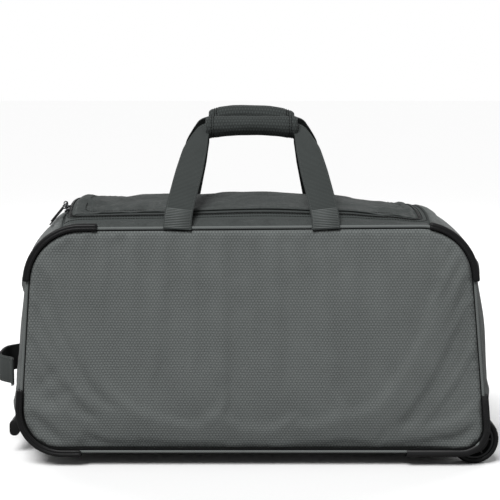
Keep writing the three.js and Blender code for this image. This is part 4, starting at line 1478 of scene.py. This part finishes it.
def build_stage():
    low, high = CAD_BOX
    middle = (low + high) / 2
    half = FLOOR_HALF
    floor = mesh_object("studio_floor",
                        [(-half, -half, 0), (half, -half, 0), (half, half, 0), (-half, half, 0)],
                        [(0, 1, 2, 3)], painted_floor(), smooth=False)
    light("Key light", "SUN", middle + Vector((-0.55, -1.45, 1.85)), middle, SUN_LIGHT, angle=SUN_SPREAD)
    light("Fill light", "AREA", (2.6, -2.6, 1.2), middle, 5.0, shape="DISK", size=2.2)
    for name, x in (("Back light left", -2.4), ("Back light right", 2.4)):
        light(name, "AREA", (x, 2.4, 1.6), middle, 34.0, shape="DISK", size=1.8)
    scene = bpy.context.scene
    scene.world = studio_world()
    scene.view_settings.view_transform = "Standard"
    camera = bpy.data.objects.new("Camera", bpy.data.cameras.new("Camera"))
    camera.data.lens = 111.1
    camera.data.sensor_width = 36
    camera.location = (0.01025, -sizes().camera_distance, 0.517)
    camera.rotation_euler = (math.radians(84), 0, 0)
    scene.collection.objects.link(camera)
    scene.camera = camera


def painted_floor():
    """White emulsion on a smooth floor: it looks white, but throws little light back on the bag."""
    def pattern(tree):
        roller = grain(tree, place(tree, "Object"), 6 * MM, 3.0)
        seen = add_node(tree, "ShaderNodeLightPath").outputs["Is Camera Ray"]
        even = add_node(tree, "ShaderNodeMapRange", {"Value": roller, "To Min": 0.97}).outputs[0]
        return layers(tree, (even, seen)), layers(tree, (roller, 0.05))
    return finish("White emulsion, rolled", "#FCFCFC", 0.8, pattern, (FLOOR_BOUNCE, 1.0), 0.2, 0.0,
                  Specular_IOR_Level=0.1)


# ---- Operators ----
class BAG_OT_panels(bpy.types.Operator):
    """Builds the front and rear dobby panels"""

    bl_idname = "bag.panels"
    bl_label = "Panels"

    def execute(self, context):
        build_panels()
        return {"FINISHED"}


class BAG_OT_gusset(bpy.types.Operator):
    """Builds the ends, the base cloth and the top strips"""

    bl_idname = "bag.gusset"
    bl_label = "Gusset"

    def execute(self, context):
        build_gusset()
        return {"FINISHED"}


class BAG_OT_piping(bpy.types.Operator):
    """Builds the piping and the black strips of painted seam shade beside it"""

    bl_idname = "bag.piping"
    bl_label = "Piping"

    def execute(self, context):
        build_piping()
        return {"FINISHED"}


class BAG_OT_guards(bpy.types.Operator):
    """Builds the moulded corner guards and their stitches"""

    bl_idname = "bag.guards"
    bl_label = "Corner guards"

    def execute(self, context):
        build_guards()
        return {"FINISHED"}


class BAG_OT_lid(bpy.types.Operator):
    """Builds the lid, the zip tapes, teeth, sliders and pulls"""

    bl_idname = "bag.lid"
    bl_label = "Lid and zip"

    def execute(self, context):
        build_lid()
        return {"FINISHED"}


class BAG_OT_handles(bpy.types.Operator):
    """Builds the straps, grip wraps and their stitches"""

    bl_idname = "bag.handles"
    bl_label = "Carry handles"

    def execute(self, context):
        build_handles()
        return {"FINISHED"}


class BAG_OT_grab_handle(bpy.types.Operator):
    """Builds the handle on the left end"""

    bl_idname = "bag.grab_handle"
    bl_label = "Grab handle"

    def execute(self, context):
        build_grab_handle()
        return {"FINISHED"}


class BAG_OT_wheels(bpy.types.Operator):
    """Builds the wheels, axles and housings"""

    bl_idname = "bag.wheels"
    bl_label = "Wheels"

    def execute(self, context):
        build_wheels()
        return {"FINISHED"}


class BAG_OT_base(bpy.types.Operator):
    """Builds the feet, skid rails and base board"""

    bl_idname = "bag.base"
    bl_label = "Base"

    def execute(self, context):
        build_base()
        return {"FINISHED"}


class BAG_OT_trolley(bpy.types.Operator):
    """Builds the bezel, tubes, grip and button"""

    bl_idname = "bag.trolley"
    bl_label = "Trolley"

    def execute(self, context):
        build_trolley()
        return {"FINISHED"}


class BAG_OT_stage(bpy.types.Operator):
    """Builds the floor, lights and camera"""

    bl_idname = "bag.stage"
    bl_label = "Stage"

    def execute(self, context):
        build_stage()
        return {"FINISHED"}


OPERATORS = (
    BAG_OT_panels, BAG_OT_gusset, BAG_OT_piping, BAG_OT_guards, BAG_OT_lid, BAG_OT_handles,
    BAG_OT_grab_handle, BAG_OT_wheels, BAG_OT_base, BAG_OT_trolley, BAG_OT_stage,
)


class BAG_PT_parts(bpy.types.Panel):
    """Lists the bag's sizes, colours and pieces"""

    bl_label = "Duffel bag"
    bl_space_type = "VIEW_3D"
    bl_region_type = "UI"
    bl_category = "Duffel bag"

    def draw(self, context):
        for group in (context.scene.bag_sizes, context.scene.bag_colours):
            for name in group.__annotations__:
                self.layout.prop(group, name)
        for made in OPERATORS:
            self.layout.operator(made.bl_idname)


CLASSES = (BagSizes, BagColours, *OPERATORS, BAG_PT_parts)


def register():
    for made in CLASSES:
        bpy.utils.register_class(made)
    bpy.types.Scene.bag_sizes = bpy.props.PointerProperty(type=BagSizes)
    bpy.types.Scene.bag_colours = bpy.props.PointerProperty(type=BagColours)


def unregister():
    del bpy.types.Scene.bag_sizes, bpy.types.Scene.bag_colours
    for made in reversed(CLASSES):
        bpy.utils.unregister_class(made)


def main():
    register()
    for made in OPERATORS:
        group, name = made.bl_idname.split(".")
        getattr(getattr(bpy.ops, group), name)()


if __name__ == "__main__":
    main()
